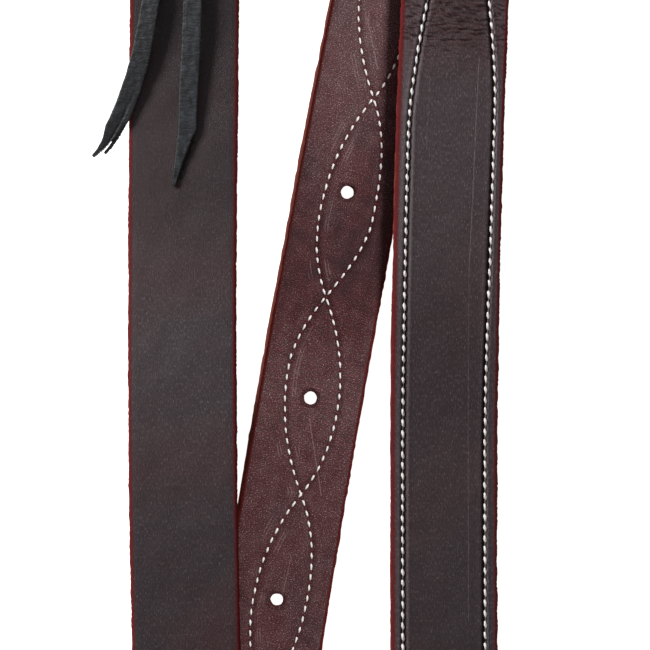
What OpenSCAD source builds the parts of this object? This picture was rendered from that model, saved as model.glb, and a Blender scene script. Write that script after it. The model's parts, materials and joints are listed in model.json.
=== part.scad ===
// A wide leather tack strap, laid flat in three runs like the letter N.
// The left run ends in a laced loop for a ring, the middle run is lined and punched
// for a buckle tongue, and the right run is doubled and ends in a roller buckle.
// +Y points to the laced end, +Z is up, and the strap lies on the plane Z = 0.

/* [Leather] */
// Width of the strap
strap_w = 44.5; // [42:0.5:45]
// Thickness of the main ply
ply_t = 4; // [3.5:0.1:4.2]
// Thickness of the lining ply
lining_t = 3; // [2:0.1:3.2]
// Bevel cut along the edges
bevel = 0.7; // [0.3:0.1:1]
// Length of each thinned, skived end
skive = 28; // [15:1:40]

/* [Runs] */
// Place of the lower fold along Y
fold_low_y = -318; // [-330:1:-305]
// Place of the upper fold along Y
fold_high_y = 327; // [315:1:335]
// Radius of the two folds, to the middle of the leather
fold_r = 12; // [10:0.5:14]
// Place of the ring loop at the laced end along Y
loop_y = 286; // [276:1:292]
// Radius of the ring loop, to the middle of the leather
loop_r = 8; // [7:0.5:9]
// Where the ply folded back at the laced end stops
laced_tip_y = 158; // [150:1:170]
// Where the ply folded back at the buckle end stops
doubled_tip_y = 200; // [190:1:210]
// Half the length of the lining ply
lining_half = 283; // [270:1:290]

/* [Tongue holes] */
// Diameter of a punched hole
hole_d = 5.8; // [4:0.1:7]

/* [Thread] */
// Thickness of the sewing thread
thread_d = 1.1; // [0.8:0.1:1.4]
// Half the width of a figure-eight lobe
lobe = 11.4; // [9:0.1:13]
// Distance of the edge seams from the strap's edge
seam_margin = 4.9; // [4:0.1:6]

/* [Buckle] */
// Thickness of the buckle's wire
wire_d = 5; // [4.5:0.1:5.2]
// Distance from the bar to the roller
buckle_len = 30; // [28:0.5:32]
// Outer diameter of the roller
roller_d = 8; // [7.4:0.1:9]
// Thickness of the tongue
tongue_d = 4; // [3:0.1:4.4]
// Place of the buckle bar along Y
bar_y = -301; // [-304:1:-298]
// Length of the slot for the tongue, behind the bar
slot_back = 20; // [18:1:22]

/* [Keepers] */
// Thickness of a keeper
keeper_t = 2; // [1.5:0.1:2.2]
// Length of a keeper along the strap
keeper_len = 14; // [10:1:16]
// Height left under a keeper for a strap
keeper_gap = 7.5; // [6:0.1:8]
// Place of the sewn keeper along Y
fixed_keeper_y = -256; // [-258:1:-252]
// Place of the sliding keeper along Y
sliding_keeper_y = -190; // [-200:1:-180]

/* [Lace] */
// Width of the tie lace
lace_w = 7.5; // [6:0.1:8]
// Thickness of the tie lace
lace_t = 1.6; // [1.2:0.1:1.8]
// Place of the two slits along Y
slit_y = 208; // [200:1:215]
// Distance of each slit from the middle of the strap
slit_x = 9; // [7:0.5:11]
// Place of the knot along Y
knot_y = 190; // [186:1:194]

/* [Hidden] */

// Moves the middle of the whole strap's outline to the origin.
centre_shift = [-3.4, -4.1, 0];

eps = 0.05;
clear = 0.3;
fit_gap = 0.1;
ply_gap = 0.1;
doubled_t = 2 * ply_t + ply_gap;
lined_t = ply_t + lining_t;

// Plan lines of the three runs: nearly straight, with the slight bow of real leather.
left_x0 = -59.4;
left_bow_y = 23;
left_bow_r = 6400;
middle_x0 = -1.1;
middle_lean = 0.178;
middle_bow_r = 6700;
right_x0 = 49.4;
right_bow_y = -60;
right_bow_r = 4460;

// Heights of the middle of the leather.
floor_z = ply_t / 2;
seam_rise = thread_d / 2 + 0.1;
over_z = lined_t + seam_rise + clear + ply_t / 2;
fold_top_z = floor_z + 2 * fold_r;
lace_lift = lace_t + 0.2;
keeper_lift = keeper_t + clear;
bar_r = wire_d / 2;
turn_r = bar_r + 0.4 + ply_t / 2;
bar_z = keeper_lift + ply_t / 2 + turn_r;
buckle_tilt = asin((bar_z - roller_d / 2 - eps) / buckle_len);
keeper_inner_h = keeper_lift - keeper_t + doubled_t + keeper_gap;

function unit(v) = v / norm(v);
function mix(a, b, t) = a * (1 - t) + b * t;
function clamp01(t) = min(1, max(0, t));
function smooth(t) = t * t * (3 - 2 * t);
function ease(a, b, v) = smooth(clamp01((v - a) / (b - a)));

function left_x(y) = left_x0 + (y - left_bow_y) ^ 2 / (2 * left_bow_r);
function left_yaw(y) = atan((y - left_bow_y) / left_bow_r);
function middle_x(y) = middle_x0 + middle_lean * y + y ^ 2 / (2 * middle_bow_r);
function middle_yaw(y) = atan(middle_lean + y / middle_bow_r);
function right_x(y) = right_x0 + max(0, y - right_bow_y) ^ 2 / (2 * right_bow_r);
function right_yaw(y) = atan(max(0, y - right_bow_y) / right_bow_r);

// Left run: rises to the lower fold, lies over the middle run, then on the surface,
// then over its own folded end and the lace, and up to the ring loop.
function left_z(y) =
    floor_z
    + (over_z - floor_z) * (1 - ease(-60, 60, y))
    + (fold_top_z - over_z) * (1 - ease(fold_low_y, -210, y))
    + (ply_t + ply_gap + lace_lift) * ease(115, 168, y)
    + (2 * loop_r - ply_t - ply_gap - lace_lift) * ease(240, loop_y, y);
function left_back_z(y) = floor_z + lace_lift * (1 - ease(240, 270, y));

// Right run: the upper ply, and the ply folded back below it.
function right_back_z(y) =
    floor_z
    + (over_z - floor_z) * ease(-55, 28, y)
    + keeper_lift * (1 - ease(-148, -80, y));
function right_z(y) =
    right_back_z(min(y, doubled_tip_y)) + ply_t + ply_gap
    + (fold_top_z - over_z - ply_t - ply_gap) * ease(doubled_tip_y - 20, fold_high_y, y)
    + (2 * turn_r - ply_t - ply_gap) * (1 - ease(bar_y, bar_y + 27, y));

// A station is the middle of the leather and the turn of its width about Z.
function left_at(y) = [[left_x(y), y, left_z(y)], left_yaw(y)];
function left_back_at(y) = [[left_x(y), y, left_back_z(y)], left_yaw(y)];
function middle_at(y, up = 0) = [[middle_x(y), y, floor_z + up], middle_yaw(y)];
function right_at(y) = [[right_x(y), y, right_z(y)], right_yaw(y)];
function right_back_at(y) = [[right_x(y), y, right_back_z(y)], right_yaw(y)];

function steps(a, b, n) = [for (i = [0:n]) mix(a, b, i / n)];

// The whole centreline, from the laced end's tip to the buckle end's tip.
loop_z = floor_z + loop_r;
fold_z = floor_z + fold_r;
centreline = concat(
    [for (y = steps(laced_tip_y, loop_y, 12)) left_back_at(y)],
    [for (a = steps(15, 165, 10))
        [[left_x(loop_y), loop_y + loop_r * sin(a), loop_z - loop_r * cos(a)],
            left_yaw(loop_y)]],
    [for (y = steps(loop_y, fold_low_y, 60)) left_at(y)],
    [for (a = steps(15, 165, 10))
        [[mix(left_x(fold_low_y), middle_x(fold_low_y), a / 180),
            fold_low_y - fold_r * sin(a), fold_z + fold_r * cos(a)],
            mix(left_yaw(fold_low_y), middle_yaw(fold_low_y), a / 180)]],
    [for (y = steps(fold_low_y, fold_high_y, 30)) middle_at(y)],
    [for (a = steps(15, 165, 10))
        [[mix(middle_x(fold_high_y), right_x(fold_high_y), a / 180),
            fold_high_y + fold_r * sin(a), fold_z - fold_r * cos(a)],
            mix(middle_yaw(fold_high_y), right_yaw(fold_high_y), a / 180)]],
    [for (y = steps(fold_high_y, bar_y, 64)) right_at(y)],
    [for (a = steps(18, 162, 8))
        [[right_x0, bar_y - turn_r * sin(a), bar_z + turn_r * cos(a)], 0]],
    [for (y = steps(bar_y, doubled_tip_y, 56)) right_back_at(y)]
);

// At each station: its place, the level direction of the width, and the outer face's direction.
function framed(s) = [for (i = [0:len(s) - 1])
    let (
        along = s[min(len(s) - 1, i + 1)][0] - s[max(0, i - 1)][0],
        level = [cos(s[i][1]), -sin(s[i][1]), 0]
    )
    [s[i][0], level, unit(cross(along, level))]];

// A bevelled leather section in width and thickness.
function leather_section(w, t, b) = [
    [w / 2, -t / 2 + b], [w / 2, t / 2 - b], [w / 2 - b, t / 2], [b - w / 2, t / 2],
    [-w / 2, t / 2 - b], [-w / 2, b - t / 2], [b - w / 2, -t / 2], [w / 2 - b, -t / 2]];

function round_section(d, n) = [for (i = [0:n - 1])
    d / 2 * [cos(360 * i / n), sin(360 * i / n)]];

// A closed solid through framed stations, with one section for each station.
module swept(frames, sections) {
    n = len(sections[0]);
    m = len(frames);
    points = [for (i = [0:m - 1], q = sections[i])
        frames[i][0] + q[0] * frames[i][1] + q[1] * frames[i][2]];
    sides = [for (i = [0:m - 2], j = [0:n - 1]) let (k = (j + 1) % n)
        [i * n + j, (i + 1) * n + j, (i + 1) * n + k, i * n + k]];
    ends = [[for (j = [0:n - 1]) j], [for (j = [n - 1:-1:0]) (m - 1) * n + j]];
    polyhedron(points, concat(sides, ends), convexity = 10);
}

// How thick and how wide the main ply is at a station, from its two skived ends.
function end_share(y, tip) = 0.35 + 0.65 * clamp01((tip - y) / skive);
function tip_narrowing(y) = 17 * clamp01((y - 92) / 105) ^ 1.5;

main_frames = framed(centreline);
last = len(centreline) - 1;
back_count = 57;
main_sections = [for (i = [0:last])
    let (
        y = centreline[i][0][1],
        first_back = i <= 12,
        last_back = i > last - back_count,
        thin = first_back ? end_share(2 * laced_tip_y + skive - y, laced_tip_y + skive)
            : last_back ? end_share(y, doubled_tip_y) : 1,
        w = last_back ? strap_w - 2 * tip_narrowing(y) : strap_w
    )
    leather_section(w, ply_t * thin, bevel * thin)];

// Places of the hand-punched holes along Y, all on the middle of the strap.
hole_ys = [-198.8, -114.4, -30.4, 55.3, 140.5, 225.5];
hole_pitch = 85;

module place() {
    translate(centre_shift) children();
}

module punched_holes() {
    for (y = hole_ys)
        translate([middle_x(y), y, -1]) cylinder(h = lined_t + 2, d = hole_d, $fn = 48);
}

module lace_slits() {
    for (side = [-1, 1])
        translate([left_x(slit_y) + side * slit_x - lace_t / 2 - clear,
                slit_y - lace_w / 2 - clear, -1])
            cube([lace_t + 2 * clear, lace_w + 2 * clear, 16]);
}

module tongue_slot() {
    slot_w = 2 * tongue_d;
    translate([right_x0 - slot_w / 2, bar_y - 12, -1]) cube([slot_w, 12 + slot_back - slot_w / 2, 24]);
    translate([right_x0, bar_y + slot_back - slot_w / 2, -1]) cylinder(h = 24, d = slot_w, $fn = 32);
}

module strap_ply() {
    color([0.13, 0.09, 0.09]) place() difference() {
        swept(main_frames, main_sections);
        punched_holes();
        lace_slits();
        tongue_slot();
    }
}

module lining_ply() {
    ys = steps(-lining_half, lining_half, 26);
    up = (lined_t - floor_z) - lining_t / 2;
    color([0.27, 0.1, 0.1]) place() difference() {
        swept(framed([for (y = ys) middle_at(y, up + eps / 2)]),
            [for (y = ys) leather_section(strap_w,
                lining_t * end_share(abs(y), lining_half) - eps, bevel * end_share(abs(y), lining_half))]);
        punched_holes();
    }
}

// Thread: a thin round line let half into the leather, one for each seam and face.
module seam(places, yaw = 0, sides = 6) {
    frames = framed([for (p = places) [p, yaw]]);
    swept(frames, [for (f = frames) round_section(thread_d, sides)]);
}

// Each row is at the side of every hole in turn, and the rows cross half-way between.
hole_turns = [for (i = [-1:6]) i < 0 ? [hole_ys[0] - hole_pitch, -180]
    : i > 5 ? [hole_ys[5] + hole_pitch, 1080] : [hole_ys[i], 180 * i]];
function eight_w(y, side) = side * lobe * cos(lookup(y, hole_turns)) + 1.2;
eight_ys = steps(hole_ys[0] - hole_pitch / 2, hole_ys[5] + hole_pitch / 2, 72);

module figure_eight(side, z) {
    seam([for (y = eight_ys) let (w = eight_w(y, side), a = middle_yaw(y))
        [middle_x(y) + w * cos(a), y - w * sin(a), z]]);
}

module figure_eight_needle_thread_1() {
    color("white") place() figure_eight(1, lined_t + seam_rise - thread_d / 2);
}

module figure_eight_needle_thread_2() {
    color("white") place() figure_eight(-1, lined_t + seam_rise - thread_d / 2);
}

module figure_eight_bobbin_thread_1() {
    color("white") place() figure_eight(1, thread_d / 2 + eps);
}

module figure_eight_bobbin_thread_2() {
    color("white") place() figure_eight(-1, thread_d / 2 + eps);
}

chape_seam_y = bar_y + 25;
edge_ys = steps(chape_seam_y, doubled_tip_y - 10, 44);
function seam_w(y) = max(1, strap_w / 2 - seam_margin - tip_narrowing(y));

// The seam's place on the upper face or on the back face of the doubled run.
function on_right(y, w, back) = let (
        a = right_yaw(y),
        z = back ? right_back_z(y) - ply_t / 2 * end_share(y, doubled_tip_y) + thread_d / 2 + eps
            : right_z(y) + ply_t / 2 + 0.1
    )
    [right_x(y) + w * cos(a), y - w * sin(a), z];

module edge_seam(side, back) {
    seam([for (y = edge_ys) on_right(y, side * seam_w(y), back)]);
}

module edge_needle_thread_left() {
    color("white") place() edge_seam(-1, false);
}

module edge_needle_thread_right() {
    color("white") place() edge_seam(1, false);
}

module edge_bobbin_thread_left() {
    color("white") place() edge_seam(-1, true);
}

module edge_bobbin_thread_right() {
    color("white") place() edge_seam(1, true);
}

// The seam across the strap that closes the turn round the buckle bar.
module chape_thread() {
    half = strap_w / 2 - seam_margin - thread_d;
    color("white") place() for (back = [false, true])
        seam([for (w = steps(-half, half, 4)) on_right(chape_seam_y + 2, w, back)], 90);
}

// Tie lace: a bar below the folded ply, two legs through the slits, and a flat knot.
function lace_face_z(y) = left_z(y) + ply_t / 2;

module lace_bar(from, to, z, w = lace_w) {
    d = to - from;
    translate([from[0], from[1], z]) rotate(atan2(d[1], d[0]))
        translate([0, -w / 2, 0]) cube([norm(d), w, lace_t]);
}

module tie_lace_knot() {
    x = left_x(slit_y);
    top = lace_face_z(slit_y) + eps;
    color([0.08, 0.08, 0.09]) place() union() {
        lace_bar([x - slit_x, slit_y], [x + slit_x, slit_y], 0);
        for (side = [-1, 1]) {
            translate([x + side * slit_x - lace_t / 2, slit_y - lace_w / 2, 0])
                cube([lace_t, lace_w, top + lace_t]);
            lace_bar([x + side * (slit_x + lace_t / 2), slit_y], [x - side * 2, knot_y + 1],
                top + (side + 1) / 2 * (lace_t - 0.2));
        }
        translate([x, knot_y, top + lace_t]) cylinder(h = 1.6 * lace_t, d = 2 * lace_w, $fn = 40);
        translate([x, knot_y, top]) cylinder(h = 2 * lace_t, d = 1.6 * lace_w, $fn = 40);
    }
}

// The two free tails of the lace: places down the middle of each, chosen by hand.
left_tail = [[-63.5, 184, 12.8], [-64.5, 179, 12.6], [-66, 172, 12.2], [-67.5, 165, 11.8],
    [-69, 157, 11.3], [-70.5, 149, 10.7], [-72, 140, 10], [-73.5, 130, 9.1], [-75.2, 120, 8.2],
    [-77.2, 110, 7.3], [-79.8, 101, 6.5], [-83, 92, 5.8], [-87, 83, 5.2], [-91, 76, 4],
    [-94.5, 72.5, 2.5], [-97, 70.5, 1.4]];
right_tail = [[-54.5, 184, 12.8], [-54, 179, 12.6], [-53.8, 172, 12.2], [-53.9, 165, 11.8],
    [-54.1, 157, 11.3], [-54.3, 149, 10.8], [-54.7, 140, 10.2], [-55.1, 130, 9.4], [-55.5, 120, 8.6],
    [-56, 110, 7.8], [-56.6, 100, 7], [-57.2, 90, 6.3], [-58.1, 80, 5.7], [-60, 69, 5.3],
    [-62.8, 58, 5.1]];

function oval_section(w, t, n) = [for (i = [0:n - 1])
    [w / 2 * cos(360 * i / n), t / 2 * sin(360 * i / n)]];

module tail(places) {
    frames = framed([for (p = places) [p, 0]]);
    last_tail = len(places) - 1;
    swept(frames, [for (i = [0:last_tail])
        oval_section(i == last_tail ? lace_w / 3 : lace_w, lace_t, 8)]);
}

module tie_lace_tail_left() {
    color([0.08, 0.08, 0.09]) place() tail(left_tail);
}

module tie_lace_tail_right() {
    color([0.08, 0.08, 0.09]) place() tail(right_tail);
}

// Buckle, drawn with its bar on the X axis and its roller towards -Y.
module at_buckle() {
    place() translate([right_x0, bar_y, bar_z]) rotate([buckle_tilt, 0, 0]) children();
}

frame_half = strap_w / 2 + 1 + wire_d / 2;
corner_r = wire_d;

module rod(from, to, d) {
    v = to - from;
    translate(from) rotate([0, acos(v[2] / norm(v)), atan2(v[1], v[0])])
        cylinder(h = norm(v), d = d, $fn = 40);
}

module frame_corner(x, y, turn) {
    translate([x, y, 0]) rotate(turn) rotate_extrude(angle = 90, $fn = 64)
        translate([corner_r, 0]) circle(d = wire_d, $fn = 40);
}

module buckle_frame() {
    straight = frame_half - corner_r;
    color([0.75, 0.75, 0.77]) at_buckle() union() {
        rod([-straight, 0, 0], [straight, 0, 0], wire_d);
        rod([-straight, -buckle_len, 0], [straight, -buckle_len, 0], wire_d);
        for (side = [-1, 1])
            rod([side * frame_half, -corner_r, 0], [side * frame_half, corner_r - buckle_len, 0], wire_d);
        frame_corner(straight, -corner_r, 0);
        frame_corner(-straight, -corner_r, 90);
        frame_corner(-straight, corner_r - buckle_len, 180);
        frame_corner(straight, corner_r - buckle_len, 270);
    }
}

module buckle_roller() {
    roller_len = 2 * (frame_half - corner_r) - 2;
    color([0.82, 0.82, 0.84]) at_buckle() translate([-roller_len / 2, -buckle_len, 0])
        rotate([0, 90, 0]) difference() {
            cylinder(h = roller_len, d = roller_d, $fn = 48);
            translate([0, 0, -1]) cylinder(h = roller_len + 2, d = wire_d + 2 * fit_gap, $fn = 48);
        }
}

// A round bar with a domed end, from its foot towards its tip.
module domed_rod(from, to, d) {
    v = to - from;
    translate(from) rotate([0, acos(v[2] / norm(v)), atan2(v[1], v[0])])
        rotate_extrude($fn = 64) {
            square([d / 2, norm(v)]);
            intersection() {
                translate([0, norm(v)]) circle(d = d, $fn = 64);
                translate([0, norm(v) - eps]) square(d);
            }
        }
}

module buckle_tongue() {
    eye_d = 0.85 * tongue_d;
    shank_z = bar_r + fit_gap + tongue_d / 2;
    tip_z = roller_d / 2 + tongue_d / 2 + clear;
    color([0.75, 0.75, 0.77]) at_buckle() union() {
        rotate([0, 90, 0]) rotate_extrude($fn = 64)
            translate([bar_r + fit_gap + eye_d / 2, 0]) circle(d = eye_d, $fn = 40);
        domed_rod([0, 1.5, shank_z], [0, -buckle_len - 2.5, tip_z], tongue_d);
    }
}

// Keepers: flat leather loops round the doubled run, with room for a strap on top.
module rounded_rect(w, h, r) {
    translate([-w / 2 + r, 0]) square([w - 2 * r, h]);
    translate([-w / 2, r]) square([w, h - 2 * r]);
    for (x = [-1, 1], y = [r, h - r]) translate([x * (w / 2 - r), y]) circle(r, $fn = 32);
}

module keeper(y) {
    inner_w = strap_w + 2 * clear + 0.4;
    outer_h = keeper_inner_h + 2 * keeper_t;
    color([0.13, 0.09, 0.09]) place() translate([right_x0, y + keeper_len / 2, 0])
        rotate([90, 0, 0]) linear_extrude(keeper_len) difference() {
            rounded_rect(inner_w + 2 * keeper_t, outer_h, keeper_t + 1);
            translate([0, keeper_t]) rounded_rect(inner_w, keeper_inner_h, 1);
        }
}

// The stitches that close each keeper's ends together, on its top face.
module keeper_thread(y) {
    top = keeper_inner_h + 2 * keeper_t;
    color("white") place() for (side = [-1, 1])
        seam([for (t = [-keeper_len / 2 + 2, 0, keeper_len / 2 - 2])
            [right_x0 + side * 4, y + t, top]]);
}

module fixed_keeper() {
    keeper(fixed_keeper_y);
}

module sliding_keeper() {
    keeper(sliding_keeper_y);
}

module fixed_keeper_thread() {
    keeper_thread(fixed_keeper_y);
}

module sliding_keeper_thread() {
    keeper_thread(sliding_keeper_y);
}

strap_ply();
lining_ply();
figure_eight_needle_thread_1();
figure_eight_needle_thread_2();
figure_eight_bobbin_thread_1();
figure_eight_bobbin_thread_2();
edge_needle_thread_left();
edge_needle_thread_right();
edge_bobbin_thread_left();
edge_bobbin_thread_right();
chape_thread();
tie_lace_knot();
tie_lace_tail_left();
tie_lace_tail_right();
buckle_frame();
buckle_roller();
buckle_tongue();
fixed_keeper();
sliding_keeper();
fixed_keeper_thread();
sliding_keeper_thread();
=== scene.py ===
"""Looks of a wide oiled leather tack strap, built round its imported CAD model.

Lengths are in millimetres and in the CAD model's own lay until a mesh is made; then
SHIFT and MM bring them into the shared frame.
"""
import json
import math

import bpy
import numpy as np
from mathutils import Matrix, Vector

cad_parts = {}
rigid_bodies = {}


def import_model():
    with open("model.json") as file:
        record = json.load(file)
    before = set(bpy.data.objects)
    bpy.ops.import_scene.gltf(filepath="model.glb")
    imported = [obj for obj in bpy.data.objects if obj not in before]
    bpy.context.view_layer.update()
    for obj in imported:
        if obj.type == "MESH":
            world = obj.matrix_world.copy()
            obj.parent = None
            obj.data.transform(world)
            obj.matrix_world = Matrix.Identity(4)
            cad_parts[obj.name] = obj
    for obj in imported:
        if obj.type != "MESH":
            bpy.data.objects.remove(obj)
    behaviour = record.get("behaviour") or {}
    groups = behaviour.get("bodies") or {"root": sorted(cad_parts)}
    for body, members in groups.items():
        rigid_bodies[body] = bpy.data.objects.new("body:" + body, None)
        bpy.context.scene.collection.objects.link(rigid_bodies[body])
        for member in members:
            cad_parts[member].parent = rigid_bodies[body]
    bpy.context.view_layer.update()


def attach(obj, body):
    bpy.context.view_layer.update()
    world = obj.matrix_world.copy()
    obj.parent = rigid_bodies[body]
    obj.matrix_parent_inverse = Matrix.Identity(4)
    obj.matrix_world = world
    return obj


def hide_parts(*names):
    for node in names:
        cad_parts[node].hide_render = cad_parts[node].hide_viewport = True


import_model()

MM = 0.001
SHIFT = np.array([-3.4, -4.1, 0.0])
COLUMNS, LINING_COLUMNS = ((61, 53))
IN_VIEW, WRINKLED = (-140, 140), (94, 180)
# Third tint value of leather that lies beside no stitched row.
NO_ROW = 9.0

# ---------------------------------------------------------------- sizes, as in the CAD model
STRAP_W, PLY_T, LINING_T, PLY_GAP, CLEAR = 44.5, 4.0, 3.0, 0.1, 0.3
LINED_T = PLY_T + LINING_T
FOLD_LOW_Y, FOLD_HIGH_Y, FOLD_R = -318.0, 327.0, 12.0
LOOP_Y, LOOP_R = 286.0, 8.0
LACED_TIP_Y, DOUBLED_TIP_Y, LINING_HALF, SKIVE = 158.0, 200.0, 283.0, 28.0
HOLE_D = 5.8
HOLE_YS = (-198.8, -114.4, -30.4, 55.3, 140.5, 225.5)
THREAD_D = 1.1
KEEPER_T, KEEPER_LEN, KEEPER_GAP = 2.0, 14.0, 7.5
FIXED_KEEPER_Y, SLIDING_KEEPER_Y = -256.0, -190.0
LACE_W, LACE_T, SLIT_Y, SLIT_X, KNOT_Y = 7.5, 1.6, 208.0, 9.0, 190.0
BAR_Y, WIRE_D, SLOT_BACK, SLOT_W = -301.0, 5.0, 20.0, 8.0

FLOOR_Z = PLY_T / 2
SEAM_RISE = THREAD_D / 2 + 0.1
OVER_Z = LINED_T + SEAM_RISE + CLEAR + PLY_T / 2
FOLD_TOP_Z = FLOOR_Z + 2 * FOLD_R
LACE_LIFT = LACE_T + 0.2
KEEPER_LIFT = KEEPER_T + CLEAR
TURN_R = WIRE_D / 2 + 0.4 + PLY_T / 2
BAR_Z = KEEPER_LIFT + PLY_T / 2 + TURN_R
KEEPER_INNER_H = KEEPER_LIFT - KEEPER_T + 2 * PLY_T + PLY_GAP + KEEPER_GAP
KEEPER_TOP = KEEPER_INNER_H + 2 * KEEPER_T
RIGHT_X0 = 49.4
SEAM_FOOT, SEAM_HEAD = BAR_Y + 26, DOUBLED_TIP_Y - 10
BUCKLE_LEN, ROLLER_D, TONGUE_D = 30.0, 8.0, 4.0
FRAME_HALF = STRAP_W / 2 + 1 + WIRE_D / 2
BUCKLE_TILT = math.asin((BAR_Z - ROLLER_D / 2 - 0.05) / BUCKLE_LEN)


# ---------------------------------------------------------------- the strap's lay
def mix(a, b, t):
    """a at t = 0 and b at t = 1."""
    return a * (1 - t) + b * t


def ease(a, b, v):
    """0 up to a, 1 from b on, and a smooth rise between."""
    t = np.clip((np.asarray(v, float) - a) / (b - a), 0, 1)
    return t * t * (3 - 2 * t)


def bump_at(v, middle, width):
    """1 at the middle and a smooth fall to 0 on both sides."""
    return np.exp(-((v - middle) / width) ** 2)


def unit(v):
    """The rows of v at length 1."""
    return v / np.linalg.norm(v, axis=-1, keepdims=True)


def distances(places):
    """Distance of each place along the line that they make."""
    return np.concatenate([[0], np.cumsum(np.linalg.norm(np.diff(places, axis=0), axis=1))])


def cubic(a, b, slope_a, slope_b, span, t):
    """A smooth curve over span from a to b, at the share t of the way."""
    return ((2 * t**3 - 3 * t**2 + 1) * a + (t**3 - 2 * t**2 + t) * span * slope_a
            + (3 * t**2 - 2 * t**3) * b + (t**3 - t**2) * span * slope_b)


def left_x(y):
    return -59.4 + (y - 23) ** 2 / 12800


def left_yaw(y):
    return np.arctan((y - 23) / 6400)


def middle_x(y):
    return -1.1 + 0.178 * y + y ** 2 / 13400


def middle_yaw(y):
    return np.arctan(0.178 + y / 6700)


def right_x(y):
    return 49.4 + np.maximum(0, y + 60) ** 2 / 8920


def right_yaw(y):
    return np.arctan(np.maximum(0, y + 60) / 4460)


def left_z(y):
    return (FLOOR_Z + (OVER_Z - FLOOR_Z) * (1 - ease(-60, 60, y))
            + (FOLD_TOP_Z - OVER_Z) * (1 - ease(FOLD_LOW_Y, -210, y))
            + (PLY_T + PLY_GAP + LACE_LIFT) * ease(115, 168, y)
            + (2 * LOOP_R - PLY_T - PLY_GAP - LACE_LIFT) * ease(240, LOOP_Y, y))


def left_back_z(y):
    return FLOOR_Z + LACE_LIFT * (1 - ease(240, 270, y))


def right_back_z(y):
    return (FLOOR_Z + (OVER_Z - FLOOR_Z) * ease(-55, 28, y)
            + KEEPER_LIFT * (1 - ease(-148, -80, y)))


def right_z(y):
    return (right_back_z(np.minimum(y, DOUBLED_TIP_Y)) + PLY_T + PLY_GAP
            + (FOLD_TOP_Z - OVER_Z - PLY_T - PLY_GAP) * ease(DOUBLED_TIP_Y - 20, FOLD_HIGH_Y, y)
            + (2 * TURN_R - PLY_T - PLY_GAP) * (1 - ease(BAR_Y, BAR_Y + 27, y)))


def tip_narrowing(y):
    return 17 * np.clip((y - 92) / 105, 0, 1) ** 1.5


def end_share(y, tip):
    return 0.35 + 0.65 * np.clip((tip - y) / SKIVE, 0, 1)


class Line:
    """Stations along leather: places, turn of the width, distance along, and the run's name."""

    def __init__(self):
        self.place, self.yaw, self.run = [], [], []

    def add(self, run, x, y, z, yaw):
        x, y, z, yaw = np.broadcast_arrays(*(np.asarray(v, float) for v in (x, y, z, yaw)))
        self.place.append(np.stack([x, y, z], axis=1))
        self.yaw.append(yaw)
        self.run += [run] * len(x)

    def done(self):
        self.place, self.yaw = np.concatenate(self.place), np.concatenate(self.yaw)
        self.run = np.array(self.run)
        self.along = distances(self.place)
        before = np.concatenate([self.place[:1], self.place[:-1]])
        after = np.concatenate([self.place[1:], self.place[-1:]])
        self.way = unit(after - before)
        self.level = np.stack([np.cos(self.yaw), -np.sin(self.yaw), 0 * self.yaw], axis=1)
        self.out = unit(np.cross(self.way, self.level))
        return self


def spaced(a, b, step, fine=(), fine_step=None):
    """Places from a to b about step apart, and fine_step apart between the two in fine."""
    low, high = min(a, b), max(a, b)
    stops = [low, max(low, fine[0]), min(high, fine[1]), high] if fine else [low, high]
    out = []
    for i, (p, q) in enumerate(zip(stops[:-1], stops[1:])):
        size = fine_step if fine and i == 1 else step
        n = max(1, int(round((q - p) / size)))
        out += list(np.linspace(p, q, n + 1))[:-1]
    out = np.array(out + [high])
    return out if a < b else out[::-1]


def half_turn(steps):
    """Angles between the two ends of a fold, without the ends."""
    return np.radians(np.linspace(0, 180, steps)[1:-1])


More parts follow.
